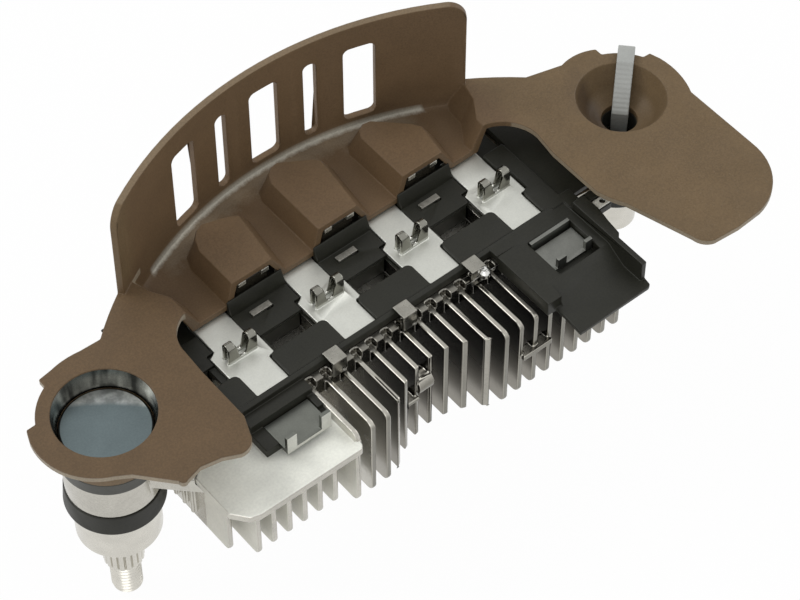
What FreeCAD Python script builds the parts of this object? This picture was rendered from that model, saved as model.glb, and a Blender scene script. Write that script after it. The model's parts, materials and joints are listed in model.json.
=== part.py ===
"""Diode rectifier of a vehicle alternator, in millimetres.

The origin is on the axis of the output stud where its thread starts. X runs along the row of
terminals, Y towards the slotted wall and Z up. The heights below count from the top face of the
formed negative plate, and each finished piece is then lifted from there to the origin.
"""
import FreeCAD, Part
import math
import os
import re
from types import SimpleNamespace
from FreeCAD import Placement, Rotation, Vector

os.makedirs("parts", exist_ok=True)
doc = FreeCAD.newDocument("rectifier")

# Driving sizes
SIZES = {
    # Formed negative plate
    "sheet": 1.4,
    "floor_depth": 5.4,
    "front_edge": 8.5,
    "hole_radius": 9.5,
    "collar_end": 9.4,
    "ear_pitch": 119.4,
    "dish_y": -2.6,
    "dish_radius": 8.8,
    "dish_depth": 6.2,
    "bolt_radius": 3.5,
    "ear_radius": 13.9,
    "scallop_radius": 11.9,
    "flank_left": 24.2,
    "flank_right": 94.3,
    "flank_run": 2.8,
    # Slotted wall
    "wall_x": 58.4,
    "wall_crown": 30.7,
    "wall_radius": 73.8,
    "wall_top": 21.7,
    "wall_reach": 33.0,
    "wall_corner": 4.0,
    "foot_bend": 1.6,
    "slot_pitch": 7.95,
    "slot_middle": 0.9,
    "slot_wide": 6.4,
    "slot_narrow": 2.7,
    "slot_low": -3.2,
    "slot_high": 15.9,
    # Bridges pressed up in the plate
    "bridge_first": 39.45,
    "bridge_pitch": 20.0,
    "bridge_left": 4.9,
    "bridge_right": 3.1,
    "bridge_steep": 1.4,
    "bridge_slope": 3.1,
    "bridge_rear": 4.6,
    # Finned positive sink
    "deck_top": 8.6,
    "deck_thick": 4.5,
    "deck_front": 13.3,
    "notch_half": 0.75,
    "notch_deep": 1.5,
    "deck_rear": 14.0,
    "fin_first": 11.0,
    "fin_pitch": 3.52,
    "fin_count": 26,
    "fin_thick": 1.15,
    "fin_front": 26.4,
    "fin_rear": 8.0,
    "fin_tip": 10.2,
    "fin_bottom": 31.0,
    "fin_round": 1.6,
    "bay_x": 56.9,
    "bay_y": -38.2,
    "bay_radius": 17.0,
    "shelf_top": 12.0,
    "shelf_thick": 1.8,
    "shelf_left": 8.3,
    "shelf_right": 35.9,
    "shelf_front": 28.0,
    "shelf_fins": 24.0,
    "boss_radius": 8.9,
    "boss_top": 12.2,
    "boss_bottom": 20.1,
    # Stud and insulators
    "stud_head": 8.5,
    "stud_top": 4.3,
    "stud_shaft": 4.2,
    "stud_neck": 3.9,
    "stud_thread": 3.0,
    "neck_start": 34.4,
    "thread_start": 46.0,
    "stud_end": 55.5,
    "spline_count": 18,
    "ring_radius": 9.3,
    "cup_radius": 9.5,
    "cup_bottom": 24.7,
    "collar_radius": 8.1,
    "sleeve_radius": 4.8,
    "sleeve_end": 34.4,
    "fit": 0.15,
    # Terminals
    "terminal_first": 29.2,
    "terminal_pitch": 20.05,
    "terminal_top": 7.1,
    "terminal_thick": 1.0,
    "tail_half": 3.6,
    "pad_half": 5.05,
    "tip_half": 3.7,
    "tail_end": 11.0,
    "pad_rear": 2.7,
    "pad_front": 4.2,
    "tip_end": 10.4,
    "fork_half": 3.25,
    "fork_front": 1.55,
    "fork_depth": 2.1,
    "fork_leaf": 0.6,
    "fork_height": 6.8,
    # Diodes
    "diode_half": 4.2,
    "diode_first": 18.5,
    "block_half": 3.6,
    "block_front": 9.2,
    "block_rear": 15.6,
    "block_short": 12.8,
    "block_gap": 1.0,
    "cup_front": 0.6,
    "cup_rear": 6.3,
    "cup_wall": 0.5,
    "cup_rim": 8.3,
    "cover_top": 7.3,
    "cover_front": 0.5,
    "pocket_front": 4.1,
    "pocket_deep": 12.0,
    # Moulded frame
    "frame_left": 13.2,
    "frame_right": 97.9,
    "frame_front": 11.4,
    "frame_rear": 20.5,
    "frame_top": 6.4,
    "frame_lip": 0.7,
    "ledge_front": 7.0,
    "ledge_rear": 8.4,
    "ledge_top": 6.6,
    "apron_right": 104.5,
    "apron_top": 7.4,
    "tray_top": 6.6,
    "tray_floor": 9.2,
    "tray_bottom": 10.1,
    "tray_left": 79.2,
    "tray_wall": 97.4,
    "tray_ridge": 4.4,
    "cradle_left": 20.8,
    "cradle_right": 35.0,
    "cradle_front": 19.0,
    "cradle_wall": 2.8,
    "cradle_floor": 10.8,
    # Contact plates, clips and strap
    "contact": 0.8,
    "contact_front": 21.4,
    "contact_rear": 14.4,
    "contact_tab": 4.5,
    "tab_width": 2.2,
    "window_left": 85.6,
    "window_right": 95.4,
    "window_front": 23.7,
    "window_rear": 14.6,
    "clip_first": 41.6,
    "clip_pitch": 16.4,
    "clip_width": 3.2,
    "clip_sheet": 0.5,
    "clip_reach": 2.5,
    "clip_foot": 10.0,
    "bead_radius": 1.2,
    "strap_width": 3.3,
    "strap_thick": 1.2,
    "strap_turn": 43.0,
}

sheet = doc.addObject("Spreadsheet::Sheet", "sizes")
for row, (alias, number) in enumerate(SIZES.items(), start=1):
    sheet.set(f"A{row}", alias)
    sheet.set(f"B{row}", str(number))
    sheet.setAlias(f"B{row}", alias)
doc.recompute()
v = SimpleNamespace(**{alias: float(sheet.get(alias)) for alias in SIZES})
v.fin_count = int(v.fin_count)
v.spline_count = int(v.spline_count)
wall_y = v.wall_crown - v.wall_radius

BRIDGES = [v.bridge_first + v.bridge_pitch * n for n in range(3)]
DIODES = [v.diode_first] + BRIDGES
pieces = []


def formula(text):
    """Write a formula of size names as an expression on the sheet."""
    return re.sub(r"[a-z]\w*", lambda found: "sizes." + found.group(), str(text))


def block(name, x, y, z):
    """Box between pairs of formulas along X, Y and Z."""
    item = doc.addObject("Part::Box", name)
    for side, (low, high) in zip(("Length", "Width", "Height"), (x, y, z)):
        item.setExpression(side, formula(f"({high}) - ({low})"))
    for axis, (low, _) in zip("xyz", (x, y, z)):
        item.setExpression(f"Placement.Base.{axis}", formula(low))
    return item


def rod(name, x, y, z, radius):
    """Upright cylinder about (x, y) between two heights."""
    item = doc.addObject("Part::Cylinder", name)
    item.setExpression("Radius", formula(radius))
    item.setExpression("Height", formula(f"({z[1]}) - ({z[0]})"))
    for axis, low in zip("xyz", (x, y, z[0])):
        item.setExpression(f"Placement.Base.{axis}", formula(low))
    return item


def fuse(name, items):
    """Join several objects into one."""
    item = doc.addObject("Part::MultiFuse", name)
    item.Shapes = items
    item.Refine = True
    return item


def cut(name, base, tools):
    """Take one or more tools away from a base."""
    item = doc.addObject("Part::Cut", name)
    item.Base = base
    item.Tool = tools[0] if len(tools) == 1 else fuse(name + "_tools", tools)
    item.Refine = True
    return item


def common(name, items):
    """Keep what several objects share."""
    item = doc.addObject("Part::MultiCommon", name)
    item.Shapes = items
    return item


def finish(item, label):
    """Name an object as one piece of the rectifier and lift it from the plate's top to the origin."""
    item.Label = label
    height = dict(item.ExpressionEngine).get(".Placement.Base.z", "0")
    item.setExpression("Placement.Base.z", f"{height} + sizes.thread_start")
    pieces.append(item)
    return item


def outline(points):
    """Curves of a closed outline. A step is a point, or a pair: a point on the arc and its end."""
    curves = []
    last = Vector(*points[-1][1], 0) if isinstance(points[-1][0], tuple) else Vector(*points[-1], 0)
    for step in points:
        if isinstance(step[0], tuple):
            through, end = (Vector(*spot, 0) for spot in step)
            curves.append(Part.Arc(last, through, end))
        else:
            end = Vector(*step, 0)
            if (end - last).Length > 1e-7:
                curves.append(Part.LineSegment(last, end))
        last = end
    return curves


def rounded(low_x, low_y, high_x, high_y, radius):
    """Rectangle with rounded corners, as steps of an outline."""
    steps = []
    corners = ((high_x, low_y, 0), (high_x, high_y, 90), (low_x, high_y, 180), (low_x, low_y, 270))
    for x, y, turn in corners:
        centre_x = x - math.copysign(radius, x - (low_x + high_x) / 2)
        centre_y = y - math.copysign(radius, y - (low_y + high_y) / 2)
        spots = []
        for angle in (turn - 90, turn - 45, turn):
            spots.append((centre_x + radius * math.cos(math.radians(angle)),
                          centre_y + radius * math.sin(math.radians(angle))))
        steps += [spots[0], (spots[1], spots[2])]
    return steps


def free_sketch(name, wires, height="0"):
    """Level sketch of closed outlines at a height."""
    item = doc.addObject("Sketcher::SketchObject", name)
    for steps in wires:
        item.addGeometry(outline(steps), False)
    item.setExpression("Placement.Base.z", formula(height))
    return item


def prism(name, wires, z):
    """Straight prism on outlines between two heights."""
    item = doc.addObject("Part::Extrusion", name)
    item.Base = free_sketch(name + "_sketch", wires, z[0])
    item.DirMode = "Custom"
    item.Dir = Vector(0, 0, 1)
    item.setExpression("LengthFwd", formula(f"({z[1]}) - ({z[0]})"))
    item.Solid = True
    return item


def tapered(name, low, high, z):
    """Solid with straight flanks between two outlines of the same number of steps."""
    item = doc.addObject("Part::Loft", name)
    item.Sections = [free_sketch(name + "_low", [low], z[0]), free_sketch(name + "_high", [high], z[1])]
    item.Solid = True
    item.Ruled = True
    return item


def body_sketch(body, name, role, wires, offset="0"):
    """Sketch of closed outlines on one of a body's own planes."""
    plane = [item for item in body.Origin.OriginFeatures if item.Role == role][0]
    item = body.newObject("Sketcher::SketchObject", name)
    item.AttachmentSupport = (plane, [""])
    item.MapMode = "FlatFace"
    item.setExpression("AttachmentOffset.Base.z", formula(offset))
    for steps in wires:
        item.addGeometry(outline(steps), False)
    return item


def turned(name, wires, x="0", y="0"):
    """Body turned about an upright axis through (x, y), from outlines of radius and height."""
    body = doc.addObject("PartDesign::Body", name)
    profile = body_sketch(body, name + "_profile", "XZ_Plane", wires)
    turn = body.newObject("PartDesign::Revolution", name + "_turn")
    turn.Profile = profile
    turn.ReferenceAxis = (profile, ["V_Axis"])
    turn.Angle = 360
    body.setExpression("Placement.Base.x", formula(x))
    body.setExpression("Placement.Base.y", formula(y))
    return body


def on_wall(degrees, radius):
    """Point on a circle about the wall's axis, by its angle from +Y towards +X."""
    angle = math.radians(degrees)
    return v.wall_x + radius * math.sin(angle), wall_y + radius * math.cos(angle)


def on_ear(centre, degrees, radius):
    """Point on a circle about a hole of an ear, by its angle from +X."""
    angle = math.radians(degrees)
    return centre[0] + radius * math.cos(angle), centre[1] + radius * math.sin(angle)


# Plan of the formed plate, anticlockwise from the left end of its front edge
outer = v.wall_radius + v.sheet
left = (0.0, 0.0)
right = (v.ear_pitch, v.dish_y)
join_left = on_wall(-41.2, outer)
join_right = on_wall(42.0, outer)
plan = [
    (v.flank_left - 0.6, v.front_edge),
    (v.flank_right + 0.5, v.front_edge),
    ((99.2, 5.6), (100.9, 0.6)),
    (100.1, -4.8),
    (100.1, -16.9),
    ((101.1, -20.1), (102.4, -22.6)),
    (106.5, -36.3),
    ((107.4, -38.4), (109.1, -39.5)),
    (114.6, -40.0),
    (120.4, -39.7),
    ((127.9, -35.2), (130.6, -27.0)),
    on_ear(right, -34.0, v.ear_radius - 0.4),
    (on_ear(right, -10.0, v.ear_radius - 1.0), on_ear(right, 12.0, v.ear_radius - 1.1)),
    on_ear(right, 22.5, v.ear_radius - 1.1),
    on_ear(right, 26.0, v.scallop_radius - 0.5),
    (on_ear(right, 46.0, v.scallop_radius - 0.5), on_ear(right, 67.0, v.scallop_radius - 0.4)),
    on_ear(right, 70.0, v.ear_radius - 0.8),
    (on_ear(right, 88.0, v.ear_radius - 0.2), on_ear(right, 104.0, v.ear_radius - 0.1)),
    join_right,
    (on_wall(0, outer), join_left),
    on_ear(left, 71.6, v.ear_radius + 0.5),
    (on_ear(left, 86.0, v.ear_radius), on_ear(left, 98.0, v.ear_radius - 0.3)),
    on_ear(left, 110.0, v.ear_radius),
    on_ear(left, 113.0, v.scallop_radius + 0.3),
    (on_ear(left, 133.0, v.scallop_radius + 0.2), on_ear(left, 153.0, v.scallop_radius + 0.2)),
    on_ear(left, 156.6, v.ear_radius - 0.1),
    on_ear(left, 168.0, v.ear_radius + 0.1),
    (on_ear(left, 200.0, v.ear_radius + 0.2), on_ear(left, 242.0, v.ear_radius - 0.2)),
    (-3.9, -13.7),
    (1.5, -19.9),
    ((1.8, -20.7), (2.8, -20.7)),
    (6.1, -19.9),
    (10.1, -20.7),
    (13.2, -22.2),
    ((15.7, -21.7), (17.0, -19.8)),
    (18.5, -16.1),
    (18.6, -3.8),
    (18.9, 1.5),
    ((20.4, 6.2), (v.flank_left - 0.6, v.front_edge)),
]

# Pan pressed down between the ears, with sloping ends and a rear edge along the wall
def pan(grow, sink):
    """Outline of the pan grown outwards and moved in by the slope of its ends."""
    radius = v.wall_radius + grow
    near_left = on_wall(-30.6 + sink, radius)
    near_right = on_wall(32.7 - sink, radius)
    return [
        (v.flank_left - grow + sink, 0.0),
        (v.flank_right + grow - sink, 0.0),
        (v.flank_right + grow - sink, 10.5),
        (v.flank_right + 3.0 + grow - sink, 15.1),
        near_right,
        (on_wall(0, radius), near_left),
        (v.flank_left - 2.2 - grow + sink, 16.8),
        (v.flank_left - grow + sink, 13.0),
    ]


def bridge_outline(centre, depth, inset):
    """Outline of a bridge at a share of its depth, moved in by an inset, with a rear edge along the wall."""
    low = v.bridge_left + v.bridge_steep * depth - inset
    high = v.bridge_right + v.bridge_slope * depth - inset
    rear = v.wall_radius - v.bridge_rear + v.bridge_steep * depth - inset

    def at_rear(x, drop):
        """Point of the rear edge at a distance inside its highest radius."""
        return x, wall_y + math.sqrt((rear - drop) ** 2 - (x - v.wall_x) ** 2)

    return [
        (centre - low, 0.0),
        (centre + high, 0.0),
        at_rear(centre + high + 2.7, 4.4),
        at_rear(centre + high + 1.7, 3.4),
        at_rear(centre + high - 0.3, 2.2),
        at_rear(centre - 0.9, 0.0),
        at_rear(centre - 2.5, 0.2),
        at_rear(centre - low + 1.0, 1.2),
        at_rear(centre - low, 3.3),
    ]


# Formed negative plate
slope_out = v.flank_run * (v.sheet / v.floor_depth)
slab = prism("ear_slab", [plan], ("-sheet", "0"))
pan_shell = tapered("pan_shell", pan(v.sheet * 1.2, v.flank_run), pan(v.sheet * 1.2, slope_out),
                    ("-floor_depth - sheet", "-sheet"))
pan_hollow = tapered("pan_hollow", pan(0, v.flank_run), pan(0, 0), ("-floor_depth", "0"))
plan_prism = prism("plan_prism", [plan], ("-floor_depth - 2 * sheet", "wall_top + sheet"))
pressed = cut("pressed_plate", fuse("plate_blank", [slab, pan_shell]), [pan_hollow])
trimmed = common("trimmed_plate", [pressed, plan_prism])

low = -v.floor_depth - v.sheet
outer_bend = v.foot_bend + v.sheet
turn45 = math.sqrt(0.5)
wall_section = [
    (v.wall_radius - v.foot_bend - 0.5, low),
    (outer - outer_bend, low),
    (outer - outer_bend * (1 - turn45), low + outer_bend * (1 - turn45)),
    (outer, low + outer_bend),
    (outer, v.wall_top),
    (v.wall_radius, v.wall_top),
    (v.wall_radius, -v.floor_depth + v.foot_bend),
    (v.wall_radius - v.foot_bend * (1 - turn45), -v.floor_depth + v.foot_bend * (1 - turn45)),
    (v.wall_radius - v.foot_bend, -v.floor_depth),
    (v.wall_radius - v.foot_bend - 0.5, -v.floor_depth),
]
wall = doc.addObject("Part::Feature", "wall_band")
section = Part.Face(Part.Wire([curve.toShape() for curve in outline(wall_section)]))
section.rotate(Vector(0, 0, 0), Vector(1, 0, 0), 90)
section.rotate(Vector(0, 0, 0), Vector(0, 0, 1), 90 + v.wall_reach)
section.translate(Vector(v.wall_x, wall_y, 0))
band = section.revolve(Vector(v.wall_x, wall_y, 0), Vector(0, 0, 1), -2 * v.wall_reach)
ends = [edge for edge in band.Edges
        if abs(edge.BoundBox.ZMin - v.wall_top) < 1e-6 and edge.Length < 2 * v.sheet]
wall.Shape = band.makeFillet(v.wall_corner, ends)

slots = []
for n in range(5):
    width = v.slot_wide if n % 2 == 0 else v.slot_narrow
    hole = doc.addObject("Part::Feature", f"slot_{n + 1}")
    shape = rounded(-width / 2, v.slot_low, width / 2, v.slot_high, min(width / 2.2, 1.3))
    face = Part.Face(Part.Wire([curve.toShape() for curve in outline(shape)]))
    face.rotate(Vector(0, 0, 0), Vector(1, 0, 0), 90)
    face.translate(Vector(0, v.wall_radius - 3 * v.sheet, 0))
    hole.Shape = face.extrude(Vector(0, 7 * v.sheet, 0))
    turn = Rotation(Vector(0, 0, 1), -(v.slot_middle + v.slot_pitch * (n - 2)))
    hole.Placement = Placement(Vector(v.wall_x, wall_y, 0), turn)
    slots.append(hole)

shells = []
hollows = []
inset = v.sheet * 1.08
for n, centre in enumerate(BRIDGES, start=1):
    shells.append(tapered(f"bridge_shell_{n}", bridge_outline(centre, 1.0, 0.0), bridge_outline(centre, 0.0, 0.0),
                          ("-floor_depth", "0")))
    hollows.append(tapered(f"bridge_hollow_{n}", bridge_outline(centre, 1.0 + v.sheet / v.floor_depth, inset),
                           bridge_outline(centre, v.sheet / v.floor_depth, inset),
                           ("-floor_depth - sheet", "-sheet")))

bridges = common("trimmed_bridges", [fuse("bridge_set", shells), plan_prism])

collar_out = turned("collar_shell", [[
    (0.0, 0.0),
    (v.hole_radius + v.sheet, 0.0),
    (v.hole_radius + v.sheet, -v.sheet),
    (v.hole_radius + 0.5, -v.sheet - 0.9),
    (v.ring_radius, -v.collar_end),
    (0.0, -v.collar_end),
]])
collar_in = turned("collar_hollow", [[
    (0.0, 1.0),
    (v.hole_radius, 1.0),
    (v.hole_radius, 0.0),
    (v.hole_radius - 0.5, -v.stud_top + 0.9),
    (v.stud_head + v.fit, -v.stud_top + 0.2),
    (v.stud_head + v.fit, -v.collar_end - 1.0),
    (0.0, -v.collar_end - 1.0),
]])
dish_out = turned("dish_shell", [[
    (0.0, 0.0),
    (v.dish_radius + 1.1, 0.0),
    (v.dish_radius + 1.1, -v.sheet - 1.0),
    (v.dish_radius - 1.3, -v.dish_depth * 0.7 - v.sheet),
    (v.bolt_radius + 1.6, -v.dish_depth - v.sheet),
    (0.0, -v.dish_depth - v.sheet),
]], "ear_pitch", "dish_y")
dish_in = turned("dish_hollow", [[
    (0.0, 1.0),
    (v.dish_radius, 1.0),
    (v.dish_radius, 0.0),
    (v.dish_radius - 0.8, -v.dish_depth * 0.3),
    (v.dish_radius - 2.4, -v.dish_depth * 0.76),
    (v.bolt_radius + 0.6, -v.dish_depth),
    (0.0, -v.dish_depth),
]], "ear_pitch", "dish_y")
right_hole = rod("right_hole", "ear_pitch", "dish_y", ("-2 * dish_depth", "sheet"), "bolt_radius")
negative = cut("plate_body", fuse("joined_plate", [trimmed, wall, bridges, collar_out, dish_out]),
               hollows + slots + [dish_in, collar_in, right_hole])
finish(negative, "negative_heat_sink")

# Finned positive sink
sink = doc.addObject("PartDesign::Body", "sink_body")
deck_left = v.shelf_left + 2.6
deck_right = v.fin_first + v.fin_pitch * (v.fin_count - 1) + v.fin_thick / 2
deck = body_sketch(sink, "deck_outline", "XY_Plane", [[
    (deck_left, -v.deck_front),
    (deck_right, -v.deck_front),
    (deck_right, v.deck_rear),
    (deck_left, v.deck_rear),
]], "-deck_top - deck_thick")
deck_pad = sink.newObject("PartDesign::Pad", "deck_pad")
deck_pad.Profile = deck
deck_pad.setExpression("Length", formula("deck_thick"))
root = v.deck_top + 3.0
crest = v.fin_tip
r = v.fin_round
fin = body_sketch(sink, "fin_outline", "YZ_Plane", [[
    (-v.fin_front + r, -v.fin_bottom),
    (v.fin_rear, -v.fin_bottom),
    (v.fin_rear, -root),
    (-v.deck_front + 2.5, -root),
    (-v.deck_front + 2.5, -crest),
    (-v.fin_front + r, -crest),
    ((-v.fin_front + r * (1 - turn45), -crest - r * (1 - turn45)), (-v.fin_front, -crest - r)),
    (-v.fin_front, -v.fin_bottom + r),
    ((-v.fin_front + r * (1 - turn45), -v.fin_bottom + r * (1 - turn45)),
     (-v.fin_front + r, -v.fin_bottom)),
]], "fin_first - fin_thick / 2")
fin_pad = sink.newObject("PartDesign::Pad", "fin_pad")
fin_pad.Profile = fin
fin_pad.setExpression("Length", formula("fin_thick"))
fins = sink.newObject("PartDesign::LinearPattern", "fin_row")
fins.Originals = [fin_pad]
fins.Direction = (deck, ["H_Axis"])
fins.setExpression("Length", formula("fin_pitch * (fin_count - 1)"))
fins.setExpression("Occurrences", formula("fin_count"))
sink.Tip = fins
doc.recompute()
notch = body_sketch(sink, "notch_outline", "XY_Plane", [[
    (deck_right - v.fin_thick / 2 - v.notch_half, -v.deck_front - 1.0),
    (deck_right - v.fin_thick / 2 + v.notch_half, -v.deck_front - 1.0),
    (deck_right - v.fin_thick / 2 + v.notch_half, -v.deck_front + v.notch_deep),
    (deck_right - v.fin_thick / 2 - v.notch_half, -v.deck_front + v.notch_deep),
]], "-deck_top")
notch_cut = sink.newObject("PartDesign::Pocket", "notch_cut")
notch_cut.Profile = notch
notch_cut.setExpression("Length", formula("fin_tip - deck_top"))
doc.recompute()
notches = sink.newObject("PartDesign::LinearPattern", "notch_row")
notches.Originals = [notch_cut]
notches.Direction = (notch, ["H_Axis"])
notches.Reversed = True
notches.setExpression("Length", formula("fin_pitch * (fin_count - 8)"))
notches.setExpression("Occurrences", formula("fin_count - 7"))
sink.Tip = notches

bay = rod("bay_cutter", "bay_x", "bay_y", ("-fin_bottom - 1", "0"), "bay_radius")
shelf_cut = block("shelf_cutter", ("0", "shelf_right - fin_pitch / 2 + 0.2"), ("-fin_front - 1", "-shelf_fins"),
                  ("-fin_bottom - 1", "0"))
shelf_corner = block("corner_cutter", ("0", "fin_first + fin_pitch / 2"), ("-fin_front - 1", "-shelf_fins + 4"),
                     ("-fin_bottom - 1", "0"))
low_cut = block("shelf_clearance", ("0", "shelf_right - fin_pitch / 2 + 0.2"), ("-fin_front - 1", "-deck_front"),
                ("-shelf_top", "0"))
fin_set = cut("fin_set", sink, [bay, shelf_cut, shelf_corner, low_cut])
shelf = prism("shelf", [[
    (v.shelf_left, -v.deck_front - 1.0),
    (v.shelf_left, -v.shelf_front + 3.9),
    (v.shelf_left + 2.4, -v.shelf_front + 0.9),
    (v.shelf_left + 4.4, -v.shelf_front + 0.2),
    (v.shelf_right - 0.8, -v.shelf_front - 0.2),
    (v.shelf_right, -v.shelf_front + 0.8),
    (v.shelf_right, -v.deck_front - 0.2),
    (v.shelf_right, -v.deck_front + 1.0),
    (v.shelf_left + 2.6, -v.deck_front + 1.0),
]], ("-shelf_top - shelf_thick", "-shelf_top"))
ribs = []
for n in range(3):
    ribs.append(block(f"end_rib_{n + 1}", ("shelf_left + 1.4", "fin_first"),
                      (f"-10.2 + {2.6 * n}", f"-9.3 + {2.6 * n}"),
                      ("-fin_bottom + 1.5", "-deck_top - deck_thick + 0.5")))
boss = rod("stud_boss", "0", "0", ("-boss_bottom", "-boss_top"), "boss_radius")
arm = prism("boss_arm", [[
    (2.4, -8.2),
    (v.shelf_left + 2.8, -17.0),
    (v.shelf_left + 2.8, 4.0),
    (4.0, 7.6),
]], ("-boss_bottom + 3.4", "-boss_top - 0.4"))
ear_boss = rod("ear_boss", "ear_pitch", "dish_y", ("-boss_bottom", "-boss_top"), "boss_radius")
ear_arm = prism("ear_arm", [[
    (deck_right - 2.0, -7.5),
    (v.ear_pitch - 2.0, v.dish_y - 7.5),
    (v.ear_pitch - 2.0, v.dish_y + 7.5),
    (deck_right - 2.0, 6.0),
]], ("-boss_bottom + 3.4", "-boss_top - 0.4"))
saddle = doc.addObject("Part::Cylinder", "web_saddle")
saddle.Radius = 2.2
saddle.setExpression("Height", formula("fin_pitch"))
saddle.setExpression("Placement.Base.x", formula("fin_first + 12 * fin_pitch"))
saddle.setExpression("Placement.Base.y", formula("bay_y + bay_radius + 0.9"))
saddle.setExpression("Placement.Base.z", "-16.5")
saddle.Placement.Rotation = Rotation(Vector(0, 1, 0), 90)
blade = block("web_blade", ("fin_first + 11 * fin_pitch", "fin_first + 12 * fin_pitch"),
              ("bay_y + bay_radius - 1.2", "bay_y + bay_radius + 2.0"), ("-19.4", "-18.4"))
gate = block("web_gate", ("fin_first + 18 * fin_pitch", "fin_first + 20 * fin_pitch"),
             ("-fin_front - 0.9", "-fin_front + 1.6"), ("-20.6", "-19.2"))
pockets = []
for n, centre in enumerate(DIODES, start=1):
    pockets.append(block(f"deck_pocket_{n}", (f"{centre} - diode_half - fit", f"{centre} + diode_half + fit"),
                         ("-pocket_front", "cup_rear + fit"), ("-pocket_deep", "0")))
stud_bore = rod("stud_bore", "0", "0", ("-boss_bottom - 1", "0"), "stud_shaft + fit")
ear_bore = rod("ear_bore", "ear_pitch", "dish_y", ("-boss_bottom - 1", "0"), "bolt_radius")
positive = cut("sink_cast", fuse("sink_blank", [fin_set, shelf, boss, arm, ear_boss, ear_arm, saddle, blade, gate]
                                 + ribs), pockets + [stud_bore, ear_bore])
finish(positive, "positive_heat_sink")

# Stud, insulators and spacers under the left ear
stud = turned("stud_body", [[
    (0.0, -v.stud_end),
    (v.stud_thread - 1.2, -v.stud_end),
    (v.stud_thread, -v.stud_end + 1.4),
    (v.stud_thread, -v.thread_start),
    (v.stud_neck, -v.thread_start + 0.6),
    (v.stud_neck, -v.neck_start),
    (v.stud_shaft, -v.neck_start),
    (v.stud_shaft, -v.collar_end),
    (v.stud_head, -v.collar_end),
    (v.stud_head, -v.stud_top - 0.3),
    (v.stud_head - 0.3, -v.stud_top),
    (0.0, -v.stud_top),
]])
groove = body_sketch(stud, "groove_outline", "XY_Plane", [[
    (v.stud_neck - 0.45, 0.0),
    (v.stud_neck + 0.3, -0.42),
    (v.stud_neck + 0.3, 0.42),
]], "-thread_start + 0.3")
doc.recompute()
groove_cut = stud.newObject("PartDesign::Pocket", "groove_pocket")
groove_cut.Profile = groove
groove_cut.Reversed = True
groove_cut.setExpression("Length", formula("thread_start - neck_start - 0.3"))
doc.recompute()
spline = stud.newObject("PartDesign::PolarPattern", "spline")
spline.Originals = [groove_cut]
spline.Axis = (groove, ["N_Axis"])
spline.Angle = 360
spline.setExpression("Occurrences", formula("spline_count"))
stud.Tip = spline
finish(stud, "output_stud")

finish(turned("ring_body", [[
    (v.stud_shaft + v.fit, -v.boss_top),
    (v.ring_radius, -v.boss_top),
    (v.ring_radius, -v.collar_end),
    (v.stud_shaft + v.fit, -v.collar_end),
]]), "stud_upper_insulator")
finish(turned("cup_body", [[
    (v.stud_shaft + v.fit, -v.cup_bottom),
    (v.cup_radius, -v.cup_bottom),
    (v.cup_radius - 0.4, -v.boss_bottom),
    (v.stud_shaft + v.fit, -v.boss_bottom),
]]), "stud_lower_insulator")
finish(turned("collar_body", [[
    (v.stud_shaft + v.fit, -v.neck_start),
    (v.collar_radius, -v.neck_start),
    (v.collar_radius, -v.cup_bottom),
    (v.stud_shaft + v.fit, -v.cup_bottom),
]]), "stud_spacer")

# Insulators and sleeve under the right ear
finish(turned("ear_ring_body", [[
    (v.bolt_radius, -v.boss_top),
    (v.boss_radius - 0.6, -v.boss_top),
    (v.boss_radius - 0.6, -v.dish_depth - v.sheet),
    (v.bolt_radius, -v.dish_depth - v.sheet),
]], "ear_pitch", "dish_y"), "ear_upper_insulator")
finish(turned("ear_cup_body", [[
    (v.bolt_radius, -v.boss_bottom - 2.5),
    (v.boss_radius, -v.boss_bottom - 2.5),
    (v.boss_radius, -v.boss_bottom),
    (v.bolt_radius, -v.boss_bottom),
]], "ear_pitch", "dish_y"), "ear_lower_insulator")
finish(turned("sleeve_body", [[
    (v.bolt_radius, -v.sleeve_end),
    (v.sleeve_radius, -v.sleeve_end),
    (v.sleeve_radius, -v.boss_bottom - 2.5),
    (v.bolt_radius, -v.boss_bottom - 2.5),
]], "ear_pitch", "dish_y"), "ear_sleeve")

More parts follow.
